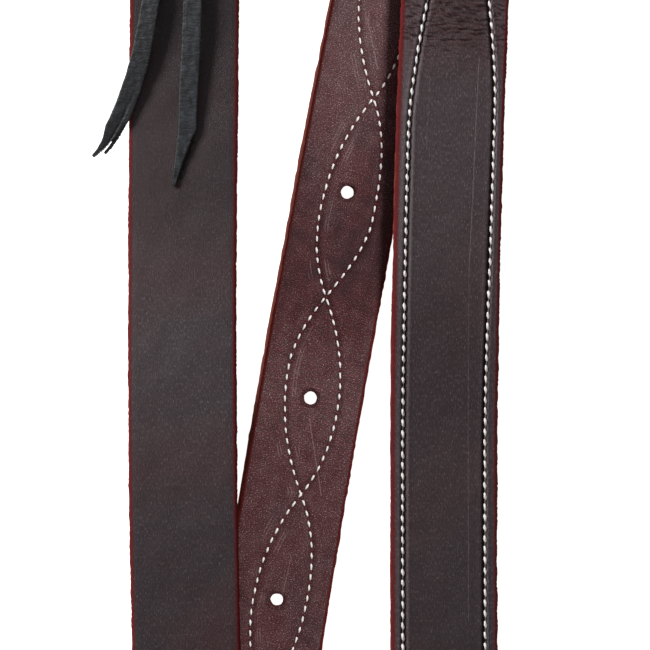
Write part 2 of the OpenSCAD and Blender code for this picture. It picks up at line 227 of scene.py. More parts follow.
def main_line():
    """The whole outer ply, from the folded tip at the laced end to the tip at the buckle end."""
    coarse = 1
    line = Line()
    y = spaced(LACED_TIP_Y, LOOP_Y, 2.5 * coarse)
    line.add("laced_back", left_x(y), y, left_back_z(y), left_yaw(y))
    a = half_turn(26)
    line.add("loop", left_x(LOOP_Y), LOOP_Y + LOOP_R * np.sin(a),
             FLOOR_Z + LOOP_R - LOOP_R * np.cos(a), left_yaw(LOOP_Y))
    y = spaced(LOOP_Y, FOLD_LOW_Y, 2.0 * coarse, IN_VIEW, 0.9 * coarse)
    line.add("left", left_x(y), y, left_z(y), left_yaw(y))
    a = half_turn(32)
    t = a / np.pi
    line.add("low_fold", mix(left_x(FOLD_LOW_Y), middle_x(FOLD_LOW_Y), t),
             FOLD_LOW_Y - FOLD_R * np.sin(a), FLOOR_Z + FOLD_R + FOLD_R * np.cos(a),
             mix(left_yaw(FOLD_LOW_Y), middle_yaw(FOLD_LOW_Y), t))
    y = spaced(FOLD_LOW_Y, FOLD_HIGH_Y, 2.0)
    line.add("middle", middle_x(y), y, FLOOR_Z, middle_yaw(y))
    line.add("high_fold", mix(middle_x(FOLD_HIGH_Y), right_x(FOLD_HIGH_Y), t),
             FOLD_HIGH_Y + FOLD_R * np.sin(a), FLOOR_Z + FOLD_R - FOLD_R * np.cos(a),
             mix(middle_yaw(FOLD_HIGH_Y), right_yaw(FOLD_HIGH_Y), t))
    # The right run comes down from the fold; its wrinkled stretch needs the closest stations.
    upper = spaced(WRINKLED[1], FOLD_HIGH_Y, 2.0 * coarse)[:0:-1]
    wrinkled = spaced(*WRINKLED, 0.42 * coarse)[:0:-1]
    plain = spaced(IN_VIEW[0], WRINKLED[0], 0.85 * coarse)[:0:-1]
    lower = spaced(BAR_Y, IN_VIEW[0], 1.6 * coarse)[::-1]
    y = np.concatenate([upper, wrinkled, plain, lower])
    line.add("right", right_x(y), y, right_z(y), right_yaw(y))
    a = half_turn(22)
    line.add("turn", right_x(BAR_Y), BAR_Y - TURN_R * np.sin(a), BAR_Z + TURN_R * np.cos(a), 0.0)
    y = spaced(BAR_Y, DOUBLED_TIP_Y, 2.5 * coarse)
    line.add("right_back", right_x(y), y, right_back_z(y), right_yaw(y))
    return line.done()


# ---------------------------------------------------------------- seams
def through(knots, y):
    """A smooth line w(y) through (y, w, slope) knots in rising order of y."""
    k = np.array(knots, float)
    i = np.clip(np.searchsorted(k[:, 0], y) - 1, 0, len(k) - 2)
    a, b = k[i], k[i + 1]
    span = b[:, 0] - a[:, 0]
    t = np.clip((y - a[:, 0]) / span, 0, 1)
    return cubic(a[:, 1], b[:, 1], a[:, 2], b[:, 2], span, t)


# Where the two rows of the figure eight cross, and how far out each lobe goes.
CROSSINGS = ((-241, 1.2), (-156, 1.0), (-69.9, 3.2), (11.6, -0.7), (94.8, 3.7), (181, 1.2), (267, 1.2))
RIGHT_LOBES = ((-200, 12.4), (-108.6, 12.8), (-33.3, 12.2), (47.4, 12.7), (138, 12.4), (222, 12.4))
LEFT_LOBES = ((-203, -10), (-116.5, -9.4), (-20, -10.9), (44.5, -9.4), (146, -10.9), (222, -10))
CROSS_SLOPE = 0.58
LEFT_LINE = [(y, w, 0.0) for y, w in LEFT_LOBES]


def eight_row(first):
    """The w(y) knots of one row, which starts at the right if first is 1 and left if it is -1."""
    knots, side = [], first
    for i, (y, w) in enumerate(CROSSINGS):
        knots.append((y, w, side * CROSS_SLOPE))
        if i < len(CROSSINGS) - 1:
            knots.append((*(RIGHT_LOBES if side > 0 else LEFT_LOBES)[i], 0.0))
        side = -side
    return knots


def seam_left(y):
    return -17.1 + 5.9 * np.clip((y - 81) / 53, 0, 2.0) ** 1.5


def seam_right(y):
    return 17.1 + 1.1 * ease(-40, 70, y) - 4.1 * np.clip((y - 92) / 42, 0, 2.6) ** 1.5


# ---------------------------------------------------------------- surface relief, in mm
def waves(u, v, size, seed, count=14):
    """Smooth noise from -1 to 1 with features about size across."""
    r = np.random.default_rng(seed)
    total = 0.0
    for _ in range(count):
        angle, phase = r.random(2) * 2 * np.pi
        k = 2 * np.pi / (size * (0.7 + 0.9 * r.random()))
        total = total + np.cos(k * (u * np.cos(angle) + v * np.sin(angle)) + phase)
    return total / math.sqrt(count)


def wrinkles(w, y):
    """Fine folds across the right run where it starts to bend up."""
    drift = 1.1 * waves(w, y * 0.4, 15, 3) + 0.5 * waves(w, y, 4.5, 4) + 0.2 * waves(w, y, 2.4, 9)
    patch = np.clip(0.45 + 0.9 * waves(w, y * 2.2, 8, 5), 0, 1)
    patch_2 = np.clip(0.4 + 0.9 * waves(w, y * 2.2, 6, 8), 0, 1)
    near = (0.25 * ease(96, 106, y) + 0.75 * ease(108, 122, y)) * (1 - ease(150, 178, y))
    first = (1 - np.abs(np.sin(np.pi * (y + drift) / 2.1))) ** 2
    second = (1 - np.abs(np.sin(np.pi * (y + 1.3 * drift + 3) / 1.5))) ** 2
    return near * (0.5 * patch * first + 0.3 * patch_2 * second)


GROOVE_W, GROOVE_DEPTH = 1.0, 0.62


def groove(d):
    """A cut groove for a seam with a small lip on both sides; d is the distance from its middle."""
    lip = 0.2 * np.exp(-((np.abs(d) - 1.75) / 0.45) ** 2)
    return lip - GROOVE_DEPTH * np.exp(-np.abs(d / GROOVE_W) ** 3.5)


def nearest_row(w, y, rows):
    """Distance from the nearest of some seam rows that run mostly along Y."""
    best = np.full(np.broadcast(w, y).shape, 99.0)
    for knots in rows:
        here = through(knots, np.ravel(y)).reshape(np.shape(y))
        ahead = through(knots, np.ravel(y) + 1).reshape(np.shape(y))
        best = np.minimum(best, np.abs(w - here) / np.sqrt(1 + (ahead - here) ** 2))
    return best


# ---------------------------------------------------------------- meshes
def new_object(name, points, faces, corner_data=None):
    """A smooth mesh object from points in mm; corner_data maps a layer's name to values per point."""
    mesh = bpy.data.meshes.new(name)
    points = (np.asarray(points, float) + SHIFT) * MM
    mesh.from_pydata(points.tolist(), [], [tuple(int(i) for i in f) for f in faces])
    mesh.update()
    index = np.zeros(len(mesh.loops), np.int32)
    mesh.loops.foreach_get("vertex_index", index)
    for layer, values in (corner_data or {}).items():
        data = mesh.attributes.new(layer, "FLOAT_VECTOR", "CORNER")
        data.data.foreach_set("vector", np.asarray(values, np.float32)[index].ravel())
    mesh.polygons.foreach_set("use_smooth", [True] * len(mesh.polygons))
    obj = bpy.data.objects.new(name, mesh)
    bpy.context.scene.collection.objects.link(obj)
    return obj


def outward(points, faces):
    """The faces, all turned over if they enclose a negative volume."""
    total = 0.0
    for size in sorted({len(f) for f in faces}):
        corner = points[np.array([f for f in faces if len(f) == size])]
        for i in range(1, size - 1):
            total += np.sum(corner[:, 0] * np.cross(corner[:, i], corner[:, i + 1]))
    return faces if total > 0 else [tuple(reversed(f)) for f in faces]


def ring_faces(n, m, closed=False, skip=()):
    """Quads of n rings of m points, without those in skip, and end caps unless the rings close."""
    faces = []
    for i in range(n if closed else n - 1):
        for j in range(m):
            if (i, j) not in skip:
                p, q = (i + 1) % n, (j + 1) % m
                faces.append((i * m + j, p * m + j, p * m + q, i * m + q))
    if not closed:
        faces.append(tuple(range(m)))
        faces.append(tuple((n - 1) * m + j for j in range(m - 1, -1, -1)))
    return faces


def merged(parts):
    """Points, faces and a list of any further data per point, of several parts as one."""
    faces, base = [], 0
    for part in parts:
        faces += [tuple(base + i for i in f) for f in part[1]]
        base += len(part[0])
    points, *data = (np.concatenate(column) for column in zip(*((p[0], *p[2:]) for p in parts)))
    return points, faces, data


def spread(places, w, h, across, out):
    """Rings of points: each place moved by its row of w along across and of h along out."""
    return places[:, None, :] + w[:, :, None] * across[:, None, :] + h[:, :, None] * out[:, None, :]


EDGE_STEPS = 6
TOP_ROUND, LOW_ROUND = 1.5, 0.9


def leather_rings(line, columns, half, thick, relief, fuzz_seed, band):
    """Ring points of a leather ply: its face, right edge, back and left edge, and their shading data.

    columns holds each station's w values over the face. half is (left, right) half widths, and
    band is how far the dyed edge reaches over the face on each side.
    """
    n = len(columns)
    t = np.broadcast_to(thick, n)[:, None] / 2
    low, high = (np.broadcast_to(h, n)[:, None] for h in half)
    fuzz_l, fuzz_r = (edge_fuzz(line.along, fuzz_seed + i)[:, None] for i in (0, 1))
    a = np.linspace(0, np.pi / 2, EDGE_STEPS + 1)[None, 1:]
    b = a[:, ::-1]
    top = TOP_ROUND * np.minimum(1, t / 2)
    sag = 0.75 * top
    end_l, end_r = relief[:, :1], relief[:, -1:]
    w = np.concatenate([columns,
                        high - top + (top + fuzz_r) * np.sin(a),
                        high - LOW_ROUND + (LOW_ROUND + fuzz_r) * np.cos(a),
                        columns[:, ::-1],
                        -low + LOW_ROUND - (LOW_ROUND + fuzz_l) * np.cos(b),
                        -low + top - (top + fuzz_l) * np.sin(b)], axis=1)
    h = np.concatenate([t + relief,
                        t + end_r - sag + sag * np.cos(a),
                        -t + LOW_ROUND - LOW_ROUND * np.sin(a),
                        -t + 0 * columns,
                        -t + LOW_ROUND - LOW_ROUND * np.sin(b),
                        t + end_l - sag + sag * np.cos(b)], axis=1)
    ones = np.ones((n, 1))
    side = np.repeat([0.0, 1.0], EDGE_STEPS)
    round_off = np.concatenate([np.linspace(0.55, 0.8, EDGE_STEPS), np.full(EDGE_STEPS, 1.0)])
    band_l, band_r = (np.broadcast_to(b, n)[:, None] for b in band)
    near_edge = np.maximum(1 - (columns + low) / band_l, 1 - (high - columns) / band_r)
    face_edge = 0.5 * np.clip(near_edge / 0.5, 0, 1)
    edge = np.concatenate([face_edge, ones * round_off, face_edge[:, ::-1], ones * round_off[::-1]], axis=1)
    back = np.concatenate([0 * columns, ones * side, 1 + 0 * columns, ones * side[::-1]], axis=1)
    points = spread(line.place, w, h, line.level, line.out)
    return points, w, np.broadcast_to(line.along[:, None], w.shape), edge, back


def edge_fuzz(s, seed):
    """Small unevenness of a cut edge, in mm."""
    return (0.10 * waves(s, 0 * s, 2.2, seed) + 0.10 * waves(s, 0 * s, 9, seed + 50)
            + 0.12 * waves(s, 0 * s, 60, seed + 90))


def block_edge(i0, i1, j0, j1):
    """The grid points round a block, in order."""
    ring = [(i0, j) for j in range(j0, j1)] + [(i, j1) for i in range(i0, i1)]
    return ring + [(i1, j) for j in range(j1, j0, -1)] + [(i, j0) for i in range(i1, i0, -1)]


# Rings of a punched hole: radius, drop below the face, share of its unevenness, wear of the edge.
HOLE_RINGS = ((HOLE_D / 2 + 1.1, 0.02, 0.4, 0.0), (HOLE_D / 2 + 0.3, 0.07, 1.0, 0.0),
              (HOLE_D / 2 - 0.14, 0.3, 1.0, 0.6))


def leather_ply(name, line, columns, half, thick, relief, shade_mark, seed, holes, slots, band, tint_and_painted_light):
    """One ply as a closed mesh, with round holes (i0, i1, j0, j1, y) and slots (i0, i1, j0, j1)."""
    n, k = columns.shape
    rings, w, along, edge, back = leather_rings(line, columns, half, thick, relief, seed, band)
    m = rings.shape[1]
    points = rings.reshape(-1, 3)
    shade_marks = np.zeros((n, m))
    shade_marks[:, :k] = shade_mark
    tints_and_painted_light = np.tile([0.0, 0.0, NO_ROW], (n, m, 1))
    tints_and_painted_light[:, :k] = tint_and_painted_light
    new_points, new_lay, new_wear_and_shade, new_faces, skip = [], [], [], [], set()

    def mirror(j):
        return 2 * k + 2 * EDGE_STEPS - 1 - j

    for i0, i1, j0, j1 in [hole[:4] for hole in holes] + list(slots):
        for i in range(i0, i1):
            for j in range(j0, j1):
                skip.update([(i, j), (i, mirror(j + 1))])
    for i0, i1, j0, j1, y in holes:
        ring = block_edge(i0, i1, j0, j1)
        c = (i0 + i1) // 2
        centre = np.array([middle_x(y) + 0.35, y, line.place[c, 2]])
        level, way, out = line.level[c], line.way[c], line.out[c]
        rims = []
        for face, sign in ((0, 1), (1, -1)):
            outer = [i * m + (j if face == 0 else mirror(j)) for i, j in ring]
            shape = points[outer] - centre
            turn = np.arctan2(shape @ way, shape @ level)
            uneven = 0.10 * np.cos(2 * turn + seed) + 0.06 * np.cos(5 * turn + 2 * seed + y)
            loops = [outer]
            for radius, drop, share, worn in HOLE_RINGS:
                base = len(points) + len(new_points)
                for a, r in zip(turn, radius + uneven * share):
                    dw, ds = r * math.cos(a), r * math.sin(a)
                    new_points.append(centre + dw * level + ds * way + sign * (thick[c] / 2 - drop) * out)
                    new_lay.append((dw / 10, along[c, 0] / 10 + ds / 10, face))
                    # The second value, 0.25, is painted shade on the hole's rim and wall.
                    new_wear_and_shade.append((worn, 0.25, face))
                loops.append(list(range(base, base + len(turn))))
            for a, b in zip(loops[:-1], loops[1:]):
                quads = zip(a, b, b[1:] + b[:1], a[1:] + a[:1])
                new_faces += [quad[::sign] for quad in quads]
            rims.append(loops[-1])
        top, low = rims
        new_faces += zip(top, low, low[1:] + low[:1], top[1:] + top[:1])
    for slot in slots:
        ring = block_edge(*slot)
        for (i, j), (p, q) in zip(ring, ring[1:] + ring[:1]):
            new_faces.append((i * m + j, i * m + mirror(j), p * m + mirror(q), p * m + q))
    data = {"lay": (np.stack([w / 10, along / 10, back], axis=2), new_lay),
            "wear_and_shade": (np.stack([edge, shade_marks, back], axis=2), new_wear_and_shade),
            "tint_and_painted_light": (tints_and_painted_light, [(0.3, 0.0, NO_ROW)] * len(new_points))}
    data = {layer: np.concatenate([a.reshape(-1, 3), np.reshape(b, (-1, 3))])
            for layer, (a, b) in data.items()}
    points = np.concatenate([points, new_points])
    faces = ring_faces(n, m, skip=skip) + new_faces
    return new_object(name, points, outward(points, faces), data)


def clustered(n_columns, low, high, centres, width=1.6, gain=5.0):
    """Column places from low to high for each station, packed closely near the centres."""
    out = np.zeros((len(low), n_columns))
    for i in range(len(low)):
        w = np.linspace(low[i], high[i], 500)
        density = np.ones_like(w)
        for c in centres:
            density += gain * np.exp(-((w - c[i]) / width) ** 4)
        total = np.concatenate([[0], np.cumsum((density[1:] + density[:-1]) / 2)])
        out[i] = np.interp(np.linspace(0, total[-1], n_columns), total, w)
    return out


def hole_blocks(line, columns, keep, reach_w=4.6, reach_s=4.6):
    """Index blocks of the grid round each tongue hole, for stations where keep is true."""
    blocks = []
    for y in HOLE_YS:
        rows = np.where(keep & (np.abs(line.place[:, 1] - y) < reach_s))[0]
        cols = np.where(np.abs(columns[rows[0]]) < reach_w)[0]
        blocks.append((int(rows[0]), int(rows[-1]), int(cols[0]), int(cols[-1]), y))
    return blocks


def slit_blocks(line, columns, run):
    """Index blocks of the two slits for the lace on one run of the strap."""
    rows = np.where((line.run == run) & (np.abs(line.place[:, 1] - SLIT_Y) < LACE_W / 2 + 0.8))[0]
    middles = [int(np.argmin(np.abs(columns[rows[0]] - side * SLIT_X))) for side in (-1, 1)]
    return [(int(rows[0]), int(rows[-1]), j - 2, j + 2) for j in middles]


def strap_columns(y, run, half):
    """Column places of the outer ply, packed closely round the edge seams."""
    inner = half - TOP_ROUND
    columns = np.linspace(-1, 1, COLUMNS)[None, :] * inner[:, None]
    rows = np.where(np.isin(run, ["right", "turn", "right_back", "high_fold"]))[0]
    share = np.where(run == "high_fold", 0.0, np.where(run == "right", ease(0, 60, FOLD_HIGH_Y - y), 1.0))
    seams = [np.maximum(seam_left(y[rows]), -inner[rows]), np.minimum(seam_right(y[rows]), inner[rows])]
    packed = clustered(COLUMNS, -inner[rows], inner[rows], seams)
    columns[rows] = mix(columns[rows], packed, share[rows][:, None])
    return columns


def tongue_slot(y, run, columns):
    """Index block of the slot for the tongue; it also moves the columns there to the slot's edges."""
    rows = np.where((run == "turn") | np.isin(run, ["right", "right_back"]) & (y < BAR_Y + SLOT_BACK))[0]
    middle, reach = COLUMNS // 2, 4
    for i in range(rows[0] - 3, rows[-1] + 4):
        columns[i] = np.interp(np.arange(COLUMNS), [0, middle - reach, middle, middle + reach, COLUMNS - 1],
                               [columns[i, 0], -SLOT_W / 2, 0, SLOT_W / 2, columns[i, -1]])
    return int(rows[0]), int(rows[-1]), middle - reach, middle + reach


def groove_offset(w, y):
    """Distance from the nearer seam's groove, and where that seam is the left one."""
    from_left, from_right = w - seam_left(y), w - seam_right(y)
    at_left = np.abs(from_left) < np.abs(from_right)
    return np.where(at_left, from_left - 0.3, from_right + 0.45), at_left


def strap_relief(line, w, y, half, seamed):
    """Height of the outer ply's face over a flat one."""
    s = line.along[:, None] + 0 * w
    relief = 0.10 * waves(w, s, 42, 11) + 0.05 * waves(w, s, 14, 12)
    relief = relief - 0.25 * np.clip((np.abs(w) - half[:, None] + 4) / 4, 0, 1) ** 2
    relief = relief + np.where(seamed, groove(groove_offset(w, y)[0]), 0)
    relief = relief - np.where((line.run == "right")[:, None], wrinkles(w, y), 0)
    return relief - np.where((line.run == "left")[:, None], crease(w, y), 0)


def strap_tones_and_light(line, w, y, seamed):
    """Painted shade in the outer ply's seam grooves and wrinkle troughs, and its tint: redness, and paleness
    with painted light.
    """
    s = line.along[:, None] + 0 * w
    is_left, is_right = (line.run == "left")[:, None], (line.run == "right")[:, None]
    cut, at_left = groove_offset(w, y)
    folds = np.where(is_right, wrinkles(w, y) * 2.6, 0)
    # Painted shade: the seam grooves' floors nearly black, and the wrinkles' troughs darkened.
    shade_mark = np.where(seamed, 0.92 * np.exp(-np.abs(cut) ** 5), 0)
    shade_mark = np.maximum(shade_mark, np.clip(0.75 * folds, 0, 0.75))
    warm = 0.35 + 0.5 * waves(w, s, 70, 71)
    warm = np.where(is_left, warm + 0.5 * bump_at(y, 40, 60) - 0.3, warm)
    top_red = ease(96, 124, y) * (0.95 + 0.2 * waves(w, y, 9, 76)) * (1 - ease(165, 200, y))
    red = np.clip(np.where(is_right, np.maximum(0.28 * warm - 0.06, top_red), 0.55 * warm), 0, 1)
    # Painted highlight: a pale dotted line on the inner lip of each seam groove.
    lip_highlight = bump_at(cut, np.where(at_left, 1.75, -1.75), 0.42)
    outer_side = (np.abs(w) > np.abs(np.where(w < 0, seam_left(y), seam_right(y)))) * 0.7
    pale_and_painted_light = np.where(seamed, 2.2 * lip_highlight * (0.75 + 0.25 * np.sin(2 * np.pi * s / 1.5)) + outer_side, 0)
    # Right run: painted sheen, paler from y = -130 up and again from 10 to 95; less pale from y = 100 on,
    # with painted shade in the wrinkle troughs.
    pale_and_painted_light = pale_and_painted_light + np.where(is_right, 0.55 * ease(-130, -10, y) + 0.4 * ease(10, 95, y)
                           - ease(100, 120, y) * np.clip(0.35 + folds, 0, 1), 0)
    # Left run: painted sheen, paler from y = -130 to -40, then painted shade that darkens it from y = -10 on
    # towards the laced end.
    pale_and_painted_light = pale_and_painted_light + np.where(is_left, 0.25 * ease(-130, -40, y) - 0.5 * ease(-10, 50, y), 0)
    return shade_mark, np.stack([red, np.clip(pale_and_painted_light, -0.5, 2.2), np.full_like(w, NO_ROW)], axis=2)


def make_strap_ply():
    """The outer ply, folded, with its tongue holes, lace slits and tongue slot."""
    line = main_line()
    y, run = line.place[:, 1], line.run
    back, is_right = run == "right_back", run == "right"
    half = (STRAP_W / 2 - np.where(back, tip_narrowing(y), 0)
            + np.where(run == "left", 0.3 + 0.2 * ease(-40, 120, y), 0))
    laced_share = end_share(2 * LACED_TIP_Y + SKIVE - y, LACED_TIP_Y + SKIVE)
    share = np.where(run == "laced_back", laced_share, np.where(back, end_share(y, DOUBLED_TIP_Y), 1.0))
    columns = strap_columns(y, run, half)
    yy = y[:, None] + 0 * columns
    seamed = is_right[:, None] & (yy < DOUBLED_TIP_Y - 8) & (yy > SEAM_FOOT)
    relief = strap_relief(line, columns, yy, half, seamed)
    slots = [tongue_slot(y, run, columns)]
    slots += slit_blocks(line, columns, "left") + slit_blocks(line, columns, "laced_back")
    holes = hole_blocks(line, columns, run == "middle")
    band = (np.where(is_right, 2.9, 2.3), np.where(is_right, 2.0, 2.3))
    shade_mark, tint_and_painted_light = strap_tones_and_light(line, columns, yy, seamed)
    return leather_ply("outer_ply", line, columns, (half, half), PLY_T * share, relief, shade_mark, 21,
                       holes, slots, band, tint_and_painted_light)


def crease(w, y):
    """Faint rubbed dents on the left run."""
    return 0.05 * np.clip(waves(w, y, 26, 31), 0, 1)


def lining_tint_and_light(w, y, dent, row_gap):
    """The lining's redness, its paleness with painted light, and the distance from a stitched row on its left
    inner side.
    """
    red = 0.35 + 0.6 * bump_at(y, -24, 36) + 0.15 * waves(w, y, 30, 72) + 0.5 * dent
    # Paleness with painted light: a painted sheen rising from y = 60 to 120, darker about y = 32, paler about
    # y = -28 and below y = -40.
    pale_and_painted_light = 0.1 + 0.22 * ease(60, 120, y) - 0.4 * bump_at(y, 32, 34) + 0.12 * waves(w, y, 9, 73)
    pale_and_painted_light = pale_and_painted_light + 0.4 * bump_at(y, -28, 24) + 0.12 * ease(40, 75, -y)
    # Painted shadow of the right run on the lining's right side, from y = 50 up.
    pale_and_painted_light = pale_and_painted_light - 0.3 * ease(4, 16, w) * ease(50, 110, y)
    pale_and_painted_light = pale_and_painted_light + 0.3 * ease(-16, -6, -np.abs(w + 8)) * ease(0, 60, y)
    inner_left = (w < 0) & (w > through(LEFT_LINE, y[:, 0])[:, None])
    gap = np.where(inner_left, np.minimum(row_gap, NO_ROW), NO_ROW)
    return np.stack([np.clip(red, 0, 1), np.clip(pale_and_painted_light, -0.6, 1), gap], axis=2)


def make_lining_ply():
    """The lining, dented along its two wandering rows of stitches."""
    y = spaced(-LINING_HALF, LINING_HALF, 1.6, IN_VIEW, 0.8 * (1))
    line = Line()
    thick = LINING_T * end_share(np.abs(y), LINING_HALF) - 0.05
    line.add("lining", middle_x(y), y, PLY_T + 0.05 + thick / 2, middle_yaw(y))
    line.done()
    # The lining is seen from above, so its outer face is turned up.
    line.out = -line.out
    half_l, half_r = STRAP_W / 2 - 1.25, STRAP_W / 2 - 0.15
    w = np.linspace(-half_l + TOP_ROUND, half_r - TOP_ROUND, LINING_COLUMNS)[None, :] + 0 * y[:, None]
    yy = y[:, None] + 0 * w
    row_gap = nearest_row(w, yy, [eight_row(1), eight_row(-1)])
    inside = (yy > CROSSINGS[0][0]) & (yy < CROSSINGS[-1][0])
    dent = np.where(inside, bump_at(row_gap, 0, 0.95), 0)
    relief = 0.08 * waves(w, yy, 38, 41) + 0.05 * waves(w, yy, 12, 42) + 0.02 * waves(w, yy, 4.5, 43)
    relief = relief - 0.30 * dent + 0.06 * bump_at(row_gap, 2.2, 0.9)
    relief = relief - 0.3 * np.clip((np.abs(w) - STRAP_W / 2 + 4) / 4, 0, 1) ** 2
    # Painted shade in the dents along the stitched rows.
    shade_mark = 0.35 * np.where(inside, bump_at(row_gap, 0, 1.3), 0)
    holes = hole_blocks(line, w, np.ones(len(y), bool))
    half = (np.full(len(y), half_l), np.full(len(y), half_r))
    return leather_ply("burgundy_lining", line, w, half, thick, relief, shade_mark, 61, holes, (), (1.6, 0.9),
                       lining_tint_and_light(w, yy, dent, row_gap))


# ---------------------------------------------------------------- stitches
def circle(n):
    """n even angles round a full turn."""
    return np.linspace(0, 2 * np.pi, n, endpoint=False)


def thread_faces(n, m):
    """Faces of n rings of m points that turn the other way than ring_faces does."""
    return [(f[0], *f[:0:-1]) for f in ring_faces(n, m)]


def stitch(at, start, shape, r):
    """One stitch of twisted thread."""
    size = shape["radius"] * (1 + r.normal(0, 0.05))
    t = np.linspace(0, 1, shape["rings"])
    s = start + t * shape["length"] * (1 + r.normal(0, 0.04))
    p, out, _, across = at(s)
    bulge = np.sin(np.pi * np.clip(t, 0.001, 0.999) ** 0.85) ** 0.55
    lift = mix(-shape["sink"], shape["height"], np.sin(np.pi * t) ** 0.6)
    lean = shape["slant"] * (t - 0.5) + r.normal(0, 0.04)
    centre = p + out * lift[:, None] + across * lean[:, None]
    angle = circle(shape["sides"])
    twist = 2 * np.pi * s / (4.2 * shape["radius"])
    radius = size * bulge[:, None] * (1 + 0.13 * np.cos(2 * (angle[None, :] - 0.5 * twist[:, None])))
    rings = spread(centre, radius * np.cos(angle), 0.8 * radius * np.sin(angle), across, out)
    return rings.reshape(-1, 3), thread_faces(shape["rings"], shape["sides"])


# Reach and rise of the rings of a pit.
PIT_RINGS, PIT_SIDES = np.array(((1.0, -0.12), (0.8, 0.03), (0.35, 0.06))), 10


def pit(at, s, shape):
    """A small dark lens between two stitches, where the needle went in: painted shade of the needle hole."""
    p, out, way, across = at(np.array([s]))
    reach, rise = PIT_RINGS.T[:, :, None]
    reach, angle = reach * shape["pit"], circle(PIT_SIDES)
    rings = spread(p + out * (rise + shape["pit_lift"]), reach * np.cos(angle), 1.15 * reach * np.sin(angle),
                   across, way)
    return rings.reshape(-1, 3), thread_faces(len(PIT_RINGS), PIT_SIDES)


def core(at, s, shape):
    """The thread that runs on below the stitches, at the distances s."""
    p, out = at(s)[:2]
    across = np.cross(out, unit(np.gradient(p, axis=0)))
    angle = circle(5)
    swell = shape["core"] * (1 + 0.3 * np.sin(4.3 * s))[:, None]
    rings = spread(p - shape["core_sink"] * out, swell * np.cos(angle), swell * np.sin(angle), across, out)
    return rings.reshape(-1, 3), thread_faces(len(s), len(angle))


def stitch_row(name, places, outs, pitch, phase, shape):
    """Single stitches of twisted thread along a line of places, with a pit where each dives in.

    shape holds the length and radius of a stitch, the height of its middle, the sink of its ends, its
    slant, and its sides and rings; for rows that have them also the sizes of the pits and of the core.
    """
    places, outs = np.asarray(places, float), np.asarray(outs, float)
    along = distances(places)

    def at(s):
        """Places at distances s, with the directions out of the leather, along the row and across it."""
        p, ahead = (np.stack([np.interp(v, along, c) for c in places.T], axis=-1) for v in (s, s + 0.3))
        out = unit(np.stack([np.interp(s, along, c) for c in outs.T], axis=-1))
        way = ahead - p
        way = way / np.maximum(np.linalg.norm(way, axis=-1, keepdims=True), 1e-9)
        return p, out, way, np.cross(out, way)

    r = np.random.default_rng(len(places) + int(phase * 100))
    parts, kinds = [], []
    for i in range(int((along[-1] - phase - shape["length"]) / pitch)):
        start = phase + i * pitch + r.normal(0, 0.06)
        parts.append(stitch(at, start, shape, r))
        kinds.append(0)
        if "pit" in shape:
            parts.append(pit(at, start + (pitch + shape["length"]) / 2, shape))
            kinds.append(1)
    if "core" in shape:
        parts.append(core(at, np.arange(phase, along[-1] - 1, 0.45), shape))
        kinds.append(2)
    points, faces, _ = merged(parts)
    obj = new_object(name, points, faces)
    for _ in range(3):
        obj.data.materials.append(None)
    obj.data.polygons.foreach_set("material_index", [k for k, part in zip(kinds, parts) for _ in part[1]])
    return obj


def eight_places(knots, z):
    """Places of one row of the lining's stitches at the height z."""
    y = np.arange(CROSSINGS[0][0], CROSSINGS[-1][0], 0.5)[::-1]
    w, a = through(knots, y), middle_yaw(y)
    return np.stack([middle_x(y) + w * np.cos(a), y - w * np.sin(a), z + 0 * y], axis=1)


def right_places(seam, y, face):
    """Places of a seam on the right run, on its upper face (1) or on the face below (-1)."""
    a, w = right_yaw(y), seam(y)
    if face > 0:
        z = right_z(y) + PLY_T / 2
    else:
        z = right_back_z(y) - PLY_T / 2 * end_share(y, DOUBLED_TIP_Y)
    places = np.stack([right_x(y) + w * np.cos(a), y - w * np.sin(a), z], axis=1)
    slope = np.gradient(z, y)
    outs = face * np.stack([0 * y, -slope, 1 + 0 * y], axis=1)
    return places, outs


SIDES, RINGS = ((10, 13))
ON_FACE = dict(length=2.75, radius=0.46, height=0.05, sink=0.4, slant=0.15, sides=SIDES, rings=RINGS,
               pit=0.45, pit_lift=-0.2)
IN_GROOVE = dict(length=3.35, radius=0.6, height=0.0, sink=0.7, slant=0.5, sides=SIDES, rings=RINGS,
                 core=0.22, core_sink=0.55)
BELOW = dict(length=3.2, radius=0.5, height=-0.42, sink=0.7, slant=0.0, sides=6, rings=7)
EIGHT_PITCH, EDGE_PITCH = 4.45, 4.43


def make_seams():
    """Rows of stitches of the lining and of the edge seams, each with the CAD thread that it stands for."""
    made = []
    for i, (first, phase) in enumerate(((1, 0.4), (-1, 2.2)), 1):
        knots = eight_row(first)
        top, low = eight_places(knots, LINED_T), eight_places(knots, 0.0)
        up = np.tile([0, 0, 1.0], (len(top), 1))
        made.append((stitch_row(f"eight_stitches_{i}", top, up, EIGHT_PITCH, phase, ON_FACE),
                     f"figure_eight_needle_thread_{i}"))
        made.append((stitch_row(f"eight_back_stitches_{i}", low, -up, EIGHT_PITCH, phase, BELOW),
                     f"figure_eight_bobbin_thread_{i}"))
    y = np.arange(SEAM_FOOT, SEAM_HEAD, 0.5)[::-1]
    for side, seam, phase in (("left", seam_left, 1.0), ("right", seam_right, 3.0)):
        for face, shape, row_name, cad in ((1, IN_GROOVE, "edge_stitches", "edge_needle_thread"),
                                           (-1, BELOW, "edge_back_stitches", "edge_bobbin_thread")):
            row = stitch_row(f"{row_name}_{side}", *right_places(seam, y, face), EDGE_PITCH, phase, shape)
            made.append((row, f"{cad}_{side}"))
    return made


